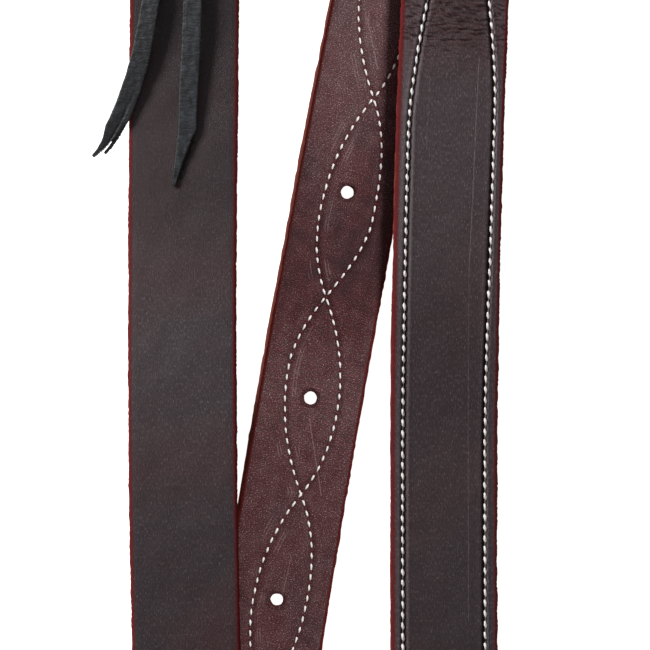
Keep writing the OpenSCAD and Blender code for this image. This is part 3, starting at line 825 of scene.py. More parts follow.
# ---------------------------------------------------------------- tie lace
LEFT_TAIL = ((-63.5, 184, 12.8), (-64.5, 179, 12.6), (-66, 172, 12.2), (-67.5, 165, 11.8),
             (-69, 157, 11.3), (-70.5, 149, 10.7), (-72, 140, 10), (-73.5, 130, 9.1), (-75.2, 120, 8.2),
             (-77.2, 110, 7.3), (-79.8, 101, 6.5), (-83, 92, 5.8), (-87, 83, 5.2), (-91, 76, 4),
             (-94.5, 72.5, 2.5), (-97, 70.5, 1.4))
RIGHT_TAIL = ((-54.5, 184, 12.8), (-54, 179, 12.6), (-53.8, 172, 12.2), (-53.9, 165, 11.8),
              (-54.1, 157, 11.3), (-54.3, 149, 10.8), (-54.7, 140, 10.2), (-55.1, 130, 9.4),
              (-55.5, 120, 8.6), (-56, 110, 7.8), (-56.6, 100, 7), (-57.2, 90, 6.3), (-58.1, 80, 5.7),
              (-60, 69, 5.3),
              (-62.8, 58, 5.1))


def smooth_path(places, step):
    """Places about step apart on a smooth line through the given ones, and their distances along it."""
    p = np.array(places, float)
    knot = distances(p)
    slope = np.gradient(p, knot, axis=0)
    s = np.linspace(0, knot[-1], int(knot[-1] / step) + 1)
    i = np.clip(np.searchsorted(knot, s) - 1, 0, len(knot) - 2)
    span = (knot[i + 1] - knot[i])[:, None]
    return cubic(p[i], p[i + 1], slope[i], slope[i + 1], span, (s - knot[i])[:, None] / span), s


def ribbon_frame(places, roll):
    """Directions across and out of a lace along places, rolled by degrees about its length."""
    way = unit(np.gradient(places, axis=0))
    level = unit(np.stack([-way[:, 1], way[:, 0], 0 * way[:, 0]], axis=1))
    up = np.cross(level, way)
    up *= np.sign(up[:, 2])[:, None]
    level = level * np.sign(level[:, 0])[:, None]
    turn = np.radians(roll)[:, None]
    return level * np.cos(turn) + up * np.sin(turn), up * np.cos(turn) - level * np.sin(turn)


def ribbon_height(w, s, u, thick, dents, seed):
    """Height of a lace's face: uneven, finely folded, falling at its rims, with dents along it."""
    at = s[:, None]
    h = thick / 2 + 0.06 * waves(w, at, 3.5, seed + 3) + 0.05 * waves(w * 0.3, at, 1.8, seed + 4)
    fine_folds = np.abs(np.sin(np.pi * (at + 0.5 * waves(w, at * 0.5, 6, seed + 5)) / 1.7)) ** 0.5
    h = h - 0.10 * (1 - fine_folds) - 0.12 * np.clip(np.abs(u) - 0.8, 0, 1) / 0.2
    for w0, w1, s0, s1, depth, width in dents:
        middle = mix(w0, w1, np.clip((at - s0) / (s1 - s0), 0, 1))
        on = ease(s0 - 4, s0 + 2, at) * (1 - ease(s1 - 2, s1 + 4, at))
        h = h - depth * on * bump_at(w, middle, width)
    return h


def ribbon_mesh(places, s, left, right, thick, roll, dents, skirt, seed):
    """Points, faces and shading data of one flat lace; left and right are its half widths in mm.

    dents are (w at start, w at end, from s, to s, depth, width); skirt widens the cut's lower edge.
    """
    across, out = ribbon_frame(places, roll)
    u = np.linspace(-1, 1, 15)[None, :]
    mid, half = ((right - left) / 2)[:, None], ((right + left) / 2)[:, None]
    w = (mid + half * u + 0.05 * waves(s, s * 0, 7, seed)[:, None] * np.sign(u)
         + 0.035 * waves(s, s * 0, 1.8, seed + 2)[:, None] * u)
    h = ribbon_height(w, s, u, thick, dents, seed)
    low_w = w.copy()
    low_w[:, -1] += skirt * (0.6 + 0.5 * waves(s, 0 * s, 1.2, seed + 6))
    low_w[:, 0] -= 0.12
    taper = np.clip(half / 1.2, 0.35, 1)
    all_w = np.concatenate([w, low_w[:, ::-1]], axis=1)
    all_h = np.concatenate([h * taper, -(thick / 2 * taper + 0 * h)], axis=1)
    points = spread(places, all_w, all_h, across, out).reshape(-1, 3)
    rim = np.clip((u - 0.84) / 0.16, 0, 1) + 0 * w
    outline_and_shade = 0.9 * np.clip((-u - 0.8) / 0.12, 0, 1) + 0 * w
    # Painted shade: the wide lower cut edge on the right darkened.
    outline_and_shade[:, -1] = 0.9 * ease(0.5, 1.0, skirt + 0 * s)
    back = 1 + 0 * w
    lay = np.stack([all_w / 10, s[:, None] / 10 + 0 * all_w, np.concatenate([0 * w, back], axis=1)], axis=2)
    wear_and_shade = np.stack([np.concatenate([rim, back], axis=1), np.concatenate([outline_and_shade, back], axis=1),
                     0 * all_w], axis=2)
    faces = outward(points, ring_faces(*all_w.shape))
    return points, faces, lay.reshape(-1, 3), wear_and_shade.reshape(-1, 3)


def joined(name, parts):
    """One object from several parts with their shading data."""
    points, faces, (lay, wear_and_shade) = merged(parts)
    return new_object(name, points, faces, {"lay": lay, "wear_and_shade": wear_and_shade})


def fade(s, start, end, a, b):
    """a up to start, b from end on, and a straight change between."""
    return mix(a, b, np.clip((s - start) / (end - start), 0, 1))


def make_left_tail():
    """The worn left tail of the lace, torn into a second thin strand near its end."""
    p, s = smooth_path(LEFT_TAIL, 0.6)
    end = s[-1]
    left = np.interp(s, [40, 60, 80, end - 15, end - 4, end], [2.9, 3.3, 3.9, 4.0, 1.3, 0.6])
    right = np.interp(s, [40, 60, 80, end - 21, end - 9, end], [4.4, 4.1, 4.0, 4.0, 0.95, 0.6])
    roll = 5 * np.sin(s / 26.0) + fade(s, 0, 60, 12, 0)
    dents = ((1.6, 0.2, end - 30, end - 4, 0.5, 0.22),)
    main = ribbon_mesh(p, s, left, right, LACE_T - 0.3, roll, dents, 0.3, 301)
    keep = (s > end - 19) & (s < end - 4.5)
    q, sq = p[keep], s[keep]
    t = (sq - sq[0]) / (sq[-1] - sq[0])
    q = q + np.stack([2.6 - 1.1 * t, -0.6 - 1.2 * t, -0.5 + 0 * t], axis=1)
    torn = ribbon_mesh(q, sq, fade(t, 0, 1, 1.2, 0.4), fade(t, 0, 1, 1.0, 0.3), LACE_T - 0.6,
                       -14 + 0 * t, (), 0.3, 321)
    return joined("lace_tail_left", [main, torn])


def make_right_tail():
    """The right tail of the lace, cut to a slanted tip."""
    p, s = smooth_path(RIGHT_TAIL, 0.6)
    end = s[-1]
    left = np.interp(s, [end - 34, end - 23, end - 11, end], [3.75, 3.1, 2.4, 1.0])
    right = np.interp(s, [end - 34, end - 24, end - 20, end - 10, end], [3.85, 4.4, 2.7, 0.9, 0.4])
    roll = 3 * np.sin(s / 30.0 + 1.0)
    dents = ((-3.0, -3.1, 0, 60, 0.3, 0.2),)
    skirt = 0.25 + 1.6 * ease(end - 24, end - 19, s) * (1 - ease(end - 5, end, s))
    return joined("lace_tail_right", [ribbon_mesh(p, s, left, right, LACE_T - 0.3, roll, dents, skirt, 341)])


# ---------------------------------------------------------------- bands, knot, keepers and buckle
def band_way(places, closed):
    """The direction of a line of places at each of them."""
    ends = np.roll(places, -1, axis=0) - np.roll(places, 1, axis=0) if closed else np.gradient(places, axis=0)
    return unit(ends)


def strip(places, across, width, thick, closed=False, seed=0):
    """One flat band with rounded rims along places, whose width points along across at each place."""
    places, across = np.asarray(places, float), np.asarray(across, float)
    along = distances(places)
    out = unit(np.cross(band_way(places, closed), across))
    r = min(0.45 * thick, 0.8)
    top, rim = thick / 2, np.linspace(0, np.pi / 2, 4)
    flat = np.linspace(-1, 1, 7)[1:-1] * (width / 2 - r)
    side = width / 2 - r
    w = np.concatenate([flat, side + r * np.sin(rim), side + r * np.cos(rim),
                        -flat, -side - r * np.sin(rim), -side - r * np.cos(rim)])
    h = np.concatenate([0 * flat + top, top - r + r * np.cos(rim), -top + r - r * np.sin(rim),
                        0 * flat - top, -top + r - r * np.cos(rim), top - r + r * np.sin(rim)])
    w_here = w[None, :] * (1 + 0.012 * waves(along, along * 0, 9, seed + 400)[:, None])
    h_here = h[None, :] + 0 * w_here
    points = spread(places, w_here, h_here, across, out).reshape(-1, 3)
    back = (h_here < 0) * 1.0
    edge = np.clip((np.abs(w) - width / 2 + 1.0) / 0.9, 0, 1)[None, :] + 0 * w_here
    lay = np.stack([w_here / 10, along[:, None] / 10 + 0 * w_here, back], axis=2)
    wear_and_shade = np.stack([edge, 0 * w_here, back], axis=2)
    faces = outward(points, ring_faces(*w_here.shape, closed))
    return points, faces, lay.reshape(-1, 3), wear_and_shade.reshape(-1, 3)


def resampled(corners, step):
    """Places about step apart on the straight stretches between the corners."""
    p = np.array(corners, float)
    out = [p[0]]
    for a, b in zip(p[:-1], p[1:]):
        n = max(1, int(np.linalg.norm(b - a) / step))
        out += [mix(a, b, i / n) for i in range(1, n + 1)]
    return np.array(out)


def rounded_loop(half_w, low, high, r, step=1.0):
    """Places round a rectangle with round corners."""
    out = []
    for x, z, start in ((half_w - r, low + r, -90), (half_w - r, high - r, 0),
                        (r - half_w, high - r, 90), (r - half_w, low + r, 180)):
        for a in np.radians(np.linspace(start, start + 90, 7)):
            out.append((x + r * math.cos(a), z + r * math.sin(a)))
    return resampled(out + out[:1], step)[:-1]


def make_keeper(name, y, seed):
    """A keeper: a closed band round the right run, slightly sunk in the middle of its top."""
    inner_half = (STRAP_W + 2 * CLEAR + 0.4) / 2
    ring = rounded_loop(inner_half + KEEPER_T / 2, KEEPER_T / 2, KEEPER_TOP - KEEPER_T / 2, 2.0)
    crown = 0.25 * ease(0, 12, 24 - np.abs(ring[:, 0])) * (ring[:, 1] > 10)
    places = np.stack([RIGHT_X0 + ring[:, 0], y + 0 * ring[:, 0], ring[:, 1] - crown], axis=1)
    across = np.tile([0, -1.0, 0], (len(places), 1))
    return joined(name, [strip(places, across, KEEPER_LEN, KEEPER_T, True, seed)])


def make_keeper_stitches(name, y):
    """Two short rows of stitches on a keeper's top."""
    parts = []
    for side in (-1, 1):
        t = np.linspace(KEEPER_LEN / 2 - 1.2, 1.2 - KEEPER_LEN / 2, 24)
        places = np.stack([RIGHT_X0 + side * 4 + 0 * t, y + t, KEEPER_TOP - 0.1 + 0 * t], axis=1)
        row = dict(ON_FACE, length=2.4, radius=0.5, pit=0.4)
        parts.append(stitch_row(f"{name}_{side + 1}", places, np.tile([0, 0, 1.0], (24, 1)), 3.6, 0.4, row))
    return parts


def make_chape_stitches():
    """Rows of stitches across the right run beside the buckle's bar, on both faces."""
    rows, y = [], BAR_Y + 27
    half = STRAP_W / 2 - 4.9 - THREAD_D
    w = np.linspace(-half, half, 60)
    for face, kind, z in ((1, ON_FACE, right_z(y) + PLY_T / 2), (-1, BELOW, right_back_z(y) - PLY_T / 2)):
        places = np.stack([RIGHT_X0 + w, y + 0 * w, z + 0 * w], axis=1)
        outs = np.tile([0, 0, float(face)], (len(w), 1))
        rows.append(stitch_row(f"chape_stitches_{(face + 1) // 2}", places, outs, 4.3, 0.6, kind))
    return rows


def softened(places, rounds):
    """Places with their corners rounded off."""
    p = places.copy()
    for _ in range(rounds):
        p[1:-1] = (p[:-2] + 2 * p[1:-1] + p[2:]) / 4
    return p


def lace_legs(x, top):
    """The lace's two legs, from the slits up to the knot."""
    legs = []
    for side in (-1, 1):
        lift = 0.9 + 0.9 * (side + 1) / 2
        route = [(x + side * SLIT_X, SLIT_Y, 2.5), (x + side * SLIT_X, SLIT_Y, top),
                 (x + side * (SLIT_X - 3), SLIT_Y - 3, top + 0.5), (x - side * 1.5, KNOT_Y + 3, top + lift),
                 (x - side * 2.5, KNOT_Y - 4, top + lift)]
        route = softened(resampled(route, 0.7), 8)
        turn = np.radians(90 - side * 32 * ease(0.45, 0.62, np.linspace(0, 1, len(route))))
        across = np.stack([np.cos(turn), np.sin(turn), 0 * turn], axis=1)
        legs.append(strip(route, across, LACE_W - 0.3, LACE_T - 0.2, seed=6 + side))
    return legs


# Tilt, y, half length, half height and band width of the two turns of the knot.
KNOT_TURNS = ((16, KNOT_Y + 0.5, 7.4, 2.6, 7.2), (-20, KNOT_Y - 1.5, 6.4, 3.3, 6.2))


def make_knot():
    """The lace's bar under the fold, its legs up through the slits, and the knot that ties them."""
    x = left_x(SLIT_Y)
    top = left_z(SLIT_Y) + PLY_T / 2 + LACE_T / 2 + 0.1
    under = [(x - SLIT_X, SLIT_Y, 4), (x - SLIT_X, SLIT_Y, LACE_T / 2),
             (x + SLIT_X, SLIT_Y, LACE_T / 2), (x + SLIT_X, SLIT_Y, 4)]
    under = softened(resampled(under, 0.8), 3)
    parts = [strip(under, np.tile([0, 1.0, 0], (len(under), 1)), LACE_W, LACE_T - 0.1, seed=5)]
    parts += lace_legs(x, top)
    for i, (tilt, y, wide, tall, w) in enumerate(KNOT_TURNS):
        a = circle(48)
        c, sn = math.cos(math.radians(tilt)), math.sin(math.radians(tilt))
        rise = np.sign(np.sin(a)) * np.abs(np.sin(a)) ** 0.75 * tall
        bow = wide * np.sign(np.cos(a)) * np.abs(np.cos(a)) ** 0.85
        places = np.stack([x + bow * c, y + bow * sn, top + 0.8 + i * 0.5 + rise * 0.72], axis=1)
        parts.append(strip(places, np.tile([-sn, c, 0], (len(a), 1)), w, LACE_T - 0.3, True, 12 + i))
    return joined("lace_knot", parts)


def at_buckle(p):
    """Places in the buckle's own lay (bar on X, roller towards -Y) moved to the strap."""
    p = np.asarray(p, float)
    c, sn = math.cos(BUCKLE_TILT), math.sin(BUCKLE_TILT)
    return np.stack([RIGHT_X0 + p[:, 0], BAR_Y + p[:, 1] * c - p[:, 2] * sn,
                     BAR_Z + p[:, 1] * sn + p[:, 2] * c], axis=1)


def tube(places, radius, closed=False, sides=24):
    """Points and faces of a round tube along places in one plane or nearly so."""
    radius = np.broadcast_to(radius, len(places))[:, None]
    way = band_way(places, closed)
    normal = unit(np.cross(way, [0.31, 0.2, 0.93] if abs(way[:, 2]).max() < 0.9 else [1.0, 0, 0]))
    a = circle(sides)
    rings = spread(places, radius * np.cos(a), radius * np.sin(a), normal, np.cross(way, normal))
    return rings.reshape(-1, 3), ring_faces(len(places), sides, closed)


def metal_piece(name, parts):
    """One object from parts in the buckle's own lay."""
    points, faces, _ = merged([(p, outward(p, f)) for p, f in parts])
    return new_object(name, at_buckle(points), faces)


def make_frame():
    """The buckle's wire frame."""
    ring = rounded_loop(FRAME_HALF, -BUCKLE_LEN, 0.0, 5.0, 0.8)
    path = np.stack([ring[:, 0], ring[:, 1], 0 * ring[:, 0]], axis=1)
    return metal_piece("buckle_frame_wire", [tube(path, WIRE_D / 2, True)])


def make_roller():
    """The sleeve that turns on the frame's far side."""
    half, r_out, r_in = FRAME_HALF - 6, ROLLER_D / 2, WIRE_D / 2 + 0.1
    rise = [(half, r_in), (half, r_out - 0.5), (half - 0.15, r_out - 0.15), (half - 0.5, r_out),
            (half - 2, r_out - 0.04)]
    profile = [(-x, r) for x, r in rise] + rise[::-1]
    angles = circle(64)
    points = np.array([(x, -BUCKLE_LEN + r * math.cos(a), r * math.sin(a))
                       for x, r in profile for a in angles])
    return metal_piece("roller_sleeve", [(points, ring_faces(len(profile), len(angles), True))])


def make_tongue():
    """The tongue: an eye round the bar, and a shank that thins towards its round tip."""
    eye_r, a = WIRE_D / 2 + 0.1 + 0.85 * TONGUE_D / 2, circle(48)
    eye = np.stack([0 * a, eye_r * np.cos(a), eye_r * np.sin(a)], axis=1)
    t = np.linspace(0, 1, 40)
    z0, z1 = WIRE_D / 2 + 0.1 + TONGUE_D / 2, ROLLER_D / 2 + TONGUE_D / 2 + CLEAR
    shank = np.stack([0 * t, mix(1.5, -BUCKLE_LEN - 4.3, t), mix(z0, z1, t)], axis=1)
    tip = np.sqrt(np.clip(1 - ((t - 0.94) / 0.06).clip(0, 0.999) ** 2, 0.01, 1))
    thin = TONGUE_D / 2 * (1 - 0.12 * t) * tip
    return metal_piece("tongue_bar", [tube(eye, 0.85 * TONGUE_D / 2, True, 20), tube(shank, thin)])


# ---------------------------------------------------------------- materials
def node(tree, kind, values=None, **props):
    """A new shader node; values maps an input's name or number to a value or another socket."""
    made = tree.nodes.new(kind)
    for key, value in props.items():
        setattr(made, key, value)
    for key, value in (values or {}).items():
        if isinstance(value, bpy.types.NodeSocket):
            tree.links.new(value, made.inputs[key])
        else:
            made.inputs[key].default_value = value
    return made


def math_node(tree, operation, a, b=0.0, clamp=False):
    """The result of one sum on values or sockets."""
    return node(tree, "ShaderNodeMath", {0: a, 1: b}, operation=operation, use_clamp=clamp).outputs[0]


def times(tree, a, b, clamp=False):
    """a times b."""
    return math_node(tree, "MULTIPLY", a, b, clamp)


def plus(tree, a, b, clamp=False):
    """a plus b."""
    return math_node(tree, "ADD", a, b, clamp)


def less(tree, a, b):
    """a less b."""
    return math_node(tree, "SUBTRACT", a, b)


def attribute(tree, name):
    """A shading layer of the mesh."""
    return node(tree, "ShaderNodeAttribute", attribute_name=name).outputs["Vector"]


def three_parts(tree, name):
    """The three values of a shading layer of the mesh."""
    return node(tree, "ShaderNodeSeparateXYZ", {0: attribute(tree, name)}).outputs


def dimmed(colour, share):
    """The colour at a share of its brightness."""
    return tuple(share * v for v in colour)


def blend_colour(tree, factor, a, b):
    """Colour a where the factor is 0 and colour b where it is 1."""
    made = node(tree, "ShaderNodeMix", {0: factor}, data_type="RGBA", blend_type="MIX")
    for key, value in ((6, a), (7, b)):
        if isinstance(value, bpy.types.NodeSocket):
            tree.links.new(value, made.inputs[key])
        else:
            made.inputs[key].default_value = (*value, 1.0)
    return made.outputs[2]


def bumps(tree, shader, strength, distance, height):
    """Gives the material fine relief."""
    bump = node(tree, "ShaderNodeBump", {"Strength": strength, "Distance": distance, "Height": height})
    tree.links.new(bump.outputs[0], shader.inputs["Normal"])


def map_range(tree, value, low, high, out_low, out_high):
    """The value moved from the range low to high into the range out_low to out_high, and kept in it."""
    return node(tree, "ShaderNodeMapRange", {0: value, 1: low, 2: high, 3: out_low, 4: out_high}).outputs[0]


def ramp(tree, value, low, high):
    """0 below low, 1 above high."""
    return map_range(tree, value, low, high, 0.0, 1.0)


def noise(tree, vector, scale, detail=3.0, rough=0.55, stretch=(1, 1, 1)):
    """Cloudy values round 0.5, finer with a larger scale."""
    placed = node(tree, "ShaderNodeMapping", {"Vector": vector, "Scale": stretch}).outputs[0]
    return node(tree, "ShaderNodeTexNoise",
                {"Vector": placed, "Scale": scale, "Detail": detail, "Roughness": rough}).outputs["Fac"]


def start_material(name):
    """A new material, its node tree and its main shader."""
    material = bpy.data.materials.new(name)
    material.use_nodes = True
    tree = material.node_tree
    return material, tree, tree.nodes["Principled BSDF"]


def rgb(r, g, b):
    """Linear values of a colour given in display values from 0 to 255."""
    return tuple((v / 255 / 12.92) if v < 10.3 else ((v / 255 + 0.055) / 1.055) ** 2.4 for v in (r, g, b))


def line_mark(tree, place, start, end, width):
    """1 on a fine straight line between two places in mm on the CAD model's plan, and 0 off it."""
    a, b = (np.array(start, float) + SHIFT[:2]) * MM, (np.array(end, float) + SHIFT[:2]) * MM
    way, length = (b - a) / np.linalg.norm(b - a), np.linalg.norm(b - a)
    moved = node(tree, "ShaderNodeVectorMath", {0: place, 1: (*a, 0.0)}, operation="SUBTRACT").outputs[0]
    along, across = (node(tree, "ShaderNodeVectorMath", {0: moved, 1: v},
                          operation="DOT_PRODUCT").outputs["Value"]
                     for v in ((*way, 0.0), (-way[1], way[0], 0.0)))
    near = map_range(tree, math_node(tree, "ABSOLUTE", across), 0.2 * width * MM, width * MM, 1.0, 0.0)
    inside = times(tree, math_node(tree, "GREATER_THAN", along, 0.0),
                   math_node(tree, "LESS_THAN", along, float(length)))
    return times(tree, near, inside)


def thin_lines(tree, value, width):
    """1 on the lines where a noise passes through its middle value, and 0 away from them."""
    off = math_node(tree, "ABSOLUTE", less(tree, value, 0.5))
    return less(tree, 1.0, ramp(tree, off, 0.2 * width, width))


def face_colour(tree, look, lay, cloudy, red, creased):
    """Face colour with redder patches, dark pores and dark creases, and the pebbled grain's height."""
    pores = node(tree, "ShaderNodeTexVoronoi", {"Vector": lay, "Scale": look["grain"]},
                 feature="DISTANCE_TO_EDGE")
    pebble = ramp(tree, pores.outputs["Distance"], 0.0, 0.22)
    tone = plus(tree, red, times(tree, less(tree, cloudy, 0.5), 0.9), True)
    colour = blend_colour(tree, tone, look["face"], look["patch"])
    darker = times(tree, ramp(tree, cloudy, 0.45, 0.75), 0.3)
    colour = blend_colour(tree, darker, colour, dimmed(look["face"], 0.5))
    between = times(tree, less(tree, 1.0, pebble), 0.45)
    colour = blend_colour(tree, between, colour, dimmed(look["patch"], 0.35))
    return blend_colour(tree, times(tree, creased, 0.8), colour, dimmed(look["patch"], 0.22)), pebble


def creases(tree, look, lay, red):
    """1 on the fine cracks and veins of the redder places, and 0 off them."""
    crackle = noise(tree, lay, 17.0, 3.0, 0.6, (0.45, 1.5, 1.0))
    veins = thin_lines(tree, noise(tree, lay, look["crease_size"], 2.0, 0.55, (0.18, 1.0, 1.0)), 0.12)
    creased = math_node(tree, "MAXIMUM", times(tree, ramp(tree, crackle, 0.48, 0.6), 0.6), veins)
    return times(tree, creased, ramp(tree, red, 0.4, 0.85))


def specks_and_painted_light(tree, look, lay, fine, paler_and_painted_light, colour):
    """The colour with pale grain specks (partly painted glints), painted sheen and highlight where the
    paleness value is above 0, and painted shade where it is below.
    """
    tone, speck = look["speck_and_sheen_tone"], look["speck"]
    flecks = noise(tree, lay, look["fleck_size"], 2.0, 0.6, (1.0, look["streak"], 1.0))
    some = math_node(tree, "MINIMUM", paler_and_painted_light, 1.0)
    tone_up = plus(tree, times(tree, ramp(tree, fine, 0.5, 0.78), 0.55 * speck),
                   times(tree, ramp(tree, flecks, 0.6, 0.68), 1.25 * speck))
    tone_up = times(tree, tone_up, plus(tree, times(tree, some, 0.6), 0.6))
    colour = blend_colour(tree, times(tree, tone_up, 1.0, True), colour, tone)
    # Painted sheen where the paleness value is above 0.
    lifted = times(tree, some, times(tree, fine, 0.6))
    colour = blend_colour(tree, times(tree, lifted, 0.42, True), colour, tone)
    # Painted highlight on the seam grooves' lips, where the paleness value is above 1.
    strong = times(tree, ramp(tree, paler_and_painted_light, 1.0, 2.0), ramp(tree, fine, 0.3, 0.6))
    colour = blend_colour(tree, times(tree, strong, 0.6), colour, tone)
    # Painted shade where the paleness value is below 0.
    return blend_colour(tree, times(tree, paler_and_painted_light, -1.2, True), colour, dimmed(look["face"], 0.25))


def scratches(tree, look, lay, row_gap):
    """Fine scores: the straight ones of this piece, and two broken lines beside a stitched row."""
    place = node(tree, "ShaderNodeTexCoord").outputs["Object"]
    line = 0.0
    for start, end, width, strength in look["scores"]:
        here = times(tree, line_mark(tree, place, start, end, width), strength)
        line = math_node(tree, "MAXIMUM", here, line)
    for gap in (3.1, 4.3):
        off = math_node(tree, "ABSOLUTE", less(tree, row_gap, gap))
        here = times(tree, less(tree, 1.0, ramp(tree, off, 0.08, 0.3)), 0.38)
        here = times(tree, here, ramp(tree, noise(tree, lay, 0.8, 1.0), 0.48, 0.6))
        line = math_node(tree, "MAXIMUM", here, line)
    return line


def edge_colour(tree, look, lay, on_edge, on_back):
    """Where the dyed edge shows, ragged on its inner side, and its fibrous colour with bare places."""
    raw = look["raw"]
    ragged = noise(tree, lay, 11.0, 5.0, 0.75)
    wander = times(tree, less(tree, ragged, 0.5), 0.9)
    fibres = noise(tree, lay, 30.0, 3.0, 0.7, (0.6, 1.0, 1.0))
    tone = blend_colour(tree, ramp(tree, ragged, 0.3, 0.72), look["edge"], dimmed(look["edge"], 0.5))
    tone = blend_colour(tree, times(tree, ramp(tree, fibres, 0.52, 0.7), 0.6), tone, raw)
    low = math_node(tree, "MAXIMUM", on_edge, times(tree, on_back, 1.2))
    bare = ramp(tree, plus(tree, low, times(tree, wander, 1.6)), 0.78, 1.12)
    mask = ramp(tree, plus(tree, on_edge, wander), 0.1, 0.62)
    return times(tree, mask, ramp(tree, on_edge, 0.0, 0.08)), blend_colour(tree, bare, tone, raw)


def leather(name, look):
    """Oiled leather: face colour with redder patches, dyed fibrous edges, a rough flesh side and grain."""
    material, tree, shader = start_material(name)
    lay = attribute(tree, "lay")
    on_edge, shade_marked, on_back = three_parts(tree, "wear_and_shade")
    red, paler_and_painted_light, row_gap = three_parts(tree, "tint_and_painted_light")
    cloudy = noise(tree, lay, 1.3, 4.0, 0.65)
    fine = noise(tree, lay, 20.0, 4.0, 0.7, (1.0, look["streak"], 1.0))
    creased = creases(tree, look, lay, red)
    colour, pebble = face_colour(tree, look, lay, cloudy, red, creased)
    colour = specks_and_painted_light(tree, look, lay, fine, paler_and_painted_light, colour)
    # Painted shade: seam grooves, wrinkle troughs, the lining's row dents and the holes' walls darkened.
    colour = blend_colour(tree, shade_marked, colour, dimmed(look["patch"], 0.12))
    line = scratches(tree, look, lay, row_gap)
    broken = times(tree, line, ramp(tree, fine, 0.35, 0.6))
    colour = blend_colour(tree, broken, colour, look["speck_and_sheen_tone"])
    nap = ramp(tree, noise(tree, lay, 6.0, 5.0, 0.7), 0.3, 0.7)
    flesh = blend_colour(tree, nap, look["flesh"], dimmed(look["flesh"], 0.6))
    back_only = times(tree, on_back, less(tree, 1.0, ramp(tree, on_edge, 0.3, 0.6)), True)
    colour = blend_colour(tree, back_only, colour, flesh)
    edge_mask, edge_tone = edge_colour(tree, look, lay, on_edge, on_back)
    colour = blend_colour(tree, edge_mask, colour, edge_tone)
    tree.links.new(colour, shader.inputs["Base Color"])
    gloss = look["gloss"]
    rough = map_range(tree, cloudy, 0.3, 0.7, gloss - 0.05, gloss + 0.08)
    fibrous = math_node(tree, "MAXIMUM", back_only, math_node(tree, "MAXIMUM", edge_mask, shade_marked))
    rough = plus(tree, rough, times(tree, fibrous, 0.35), True)
    tree.links.new(rough, shader.inputs["Roughness"])
    dull = times(tree, less(tree, 1.0, times(tree, fibrous, 0.85)), look["shine"])
    tree.links.new(dull, shader.inputs["Specular IOR Level"])
    height = plus(tree, times(tree, pebble, 0.5), times(tree, fine, 1.2))
    height = plus(tree, plus(tree, height, times(tree, line, -0.8)), times(tree, creased, -1.0))
    bumps(tree, shader, 0.7, 0.00012, height)
    return material


def thread_material(name, low, high):
    """Waxed thread with fine fibres between two tones."""
    material, tree, shader = start_material(name)
    place = node(tree, "ShaderNodeTexCoord").outputs["Object"]
    fibre = noise(tree, place, 2600.0, 3.0, 0.6)
    colour = blend_colour(tree, ramp(tree, fibre, 0.3, 0.7), low, high)
    tree.links.new(colour, shader.inputs["Base Color"])
    bumps(tree, shader, 0.4, 0.00008, fibre)
    shader.inputs["Roughness"].default_value = 0.62
    return material


def lace_material(name, lift):
    """Black lace leather: soft sheen, fine cross wrinkles, paler rubbed rims."""
    material, tree, shader = start_material(name)
    lay, wear_and_shade = attribute(tree, "lay"), three_parts(tree, "wear_and_shade")
    fine = noise(tree, lay, 16.0, 4.0, 0.65, (0.5, 1.0, 1.0))
    broad = noise(tree, lay, 1.6, 3.0, 0.6)
    flecks = noise(tree, lay, 30.0, 2.0, 0.6)
    veins = thin_lines(tree, noise(tree, lay, 7.0, 3.0, 0.55, (0.3, 1.0, 1.0)), 0.09)
    colour = blend_colour(tree, ramp(tree, broad, 0.35, 0.7), rgb(22 * lift, 23 * lift, 26 * lift),
                          rgb(38 * lift, 40 * lift, 44 * lift))
    colour = blend_colour(tree, times(tree, veins, 0.5), colour, rgb(12, 12, 14))
    speck = times(tree, ramp(tree, flecks, 0.6, 0.75), 0.3)
    colour = blend_colour(tree, speck, colour, rgb(104, 104, 106))
    rim = times(tree, wear_and_shade[0], ramp(tree, fine, 0.46, 0.56))
    colour = blend_colour(tree, times(tree, rim, 0.45), colour, rgb(128, 122, 118))
    colour = blend_colour(tree, wear_and_shade[1], colour, rgb(14, 13, 14))
    tree.links.new(colour, shader.inputs["Base Color"])
    height = less(tree, fine, times(tree, veins, 0.8))
    bumps(tree, shader, 0.7, 0.00015, height)
    shader.inputs["Roughness"].default_value = 0.55
    return material


def metal_material(name, tone, gloss):
    """Worn steel: bright where it rubs, duller and speckled elsewhere, with fine brushed lines."""
    material, tree, shader = start_material(name)
    place = node(tree, "ShaderNodeTexCoord").outputs["Object"]
    brushed = noise(tree, place, 900.0, 4.0, 0.6, (0.15, 1.0, 1.0))
    stains = noise(tree, place, 90.0, 4.0, 0.65)
    colour = blend_colour(tree, ramp(tree, stains, 0.45, 0.7), tone, dimmed(tone, 0.55))
    tree.links.new(colour, shader.inputs["Base Color"])
    rough = map_range(tree, stains, 0.35, 0.7, gloss, gloss + 0.22)
    tree.links.new(rough, shader.inputs["Roughness"])
    bumps(tree, shader, 0.25, 0.00005, brushed)
    shader.inputs["Metallic"].default_value = 1.0
    return material


def pit_shade_material():
    """Painted shade of the needle holes between stitches."""
    material, tree, shader = start_material("stitch_hole_shade")
    place = node(tree, "ShaderNodeTexCoord").outputs["Object"]
    mottled = noise(tree, place, 1500.0, 2.0, 0.6)
    colour = blend_colour(tree, mottled, rgb(58, 10, 13), rgb(110, 24, 26))
    tree.links.new(colour, shader.inputs["Base Color"])
    shader.inputs["Roughness"].default_value = 0.7
    return material


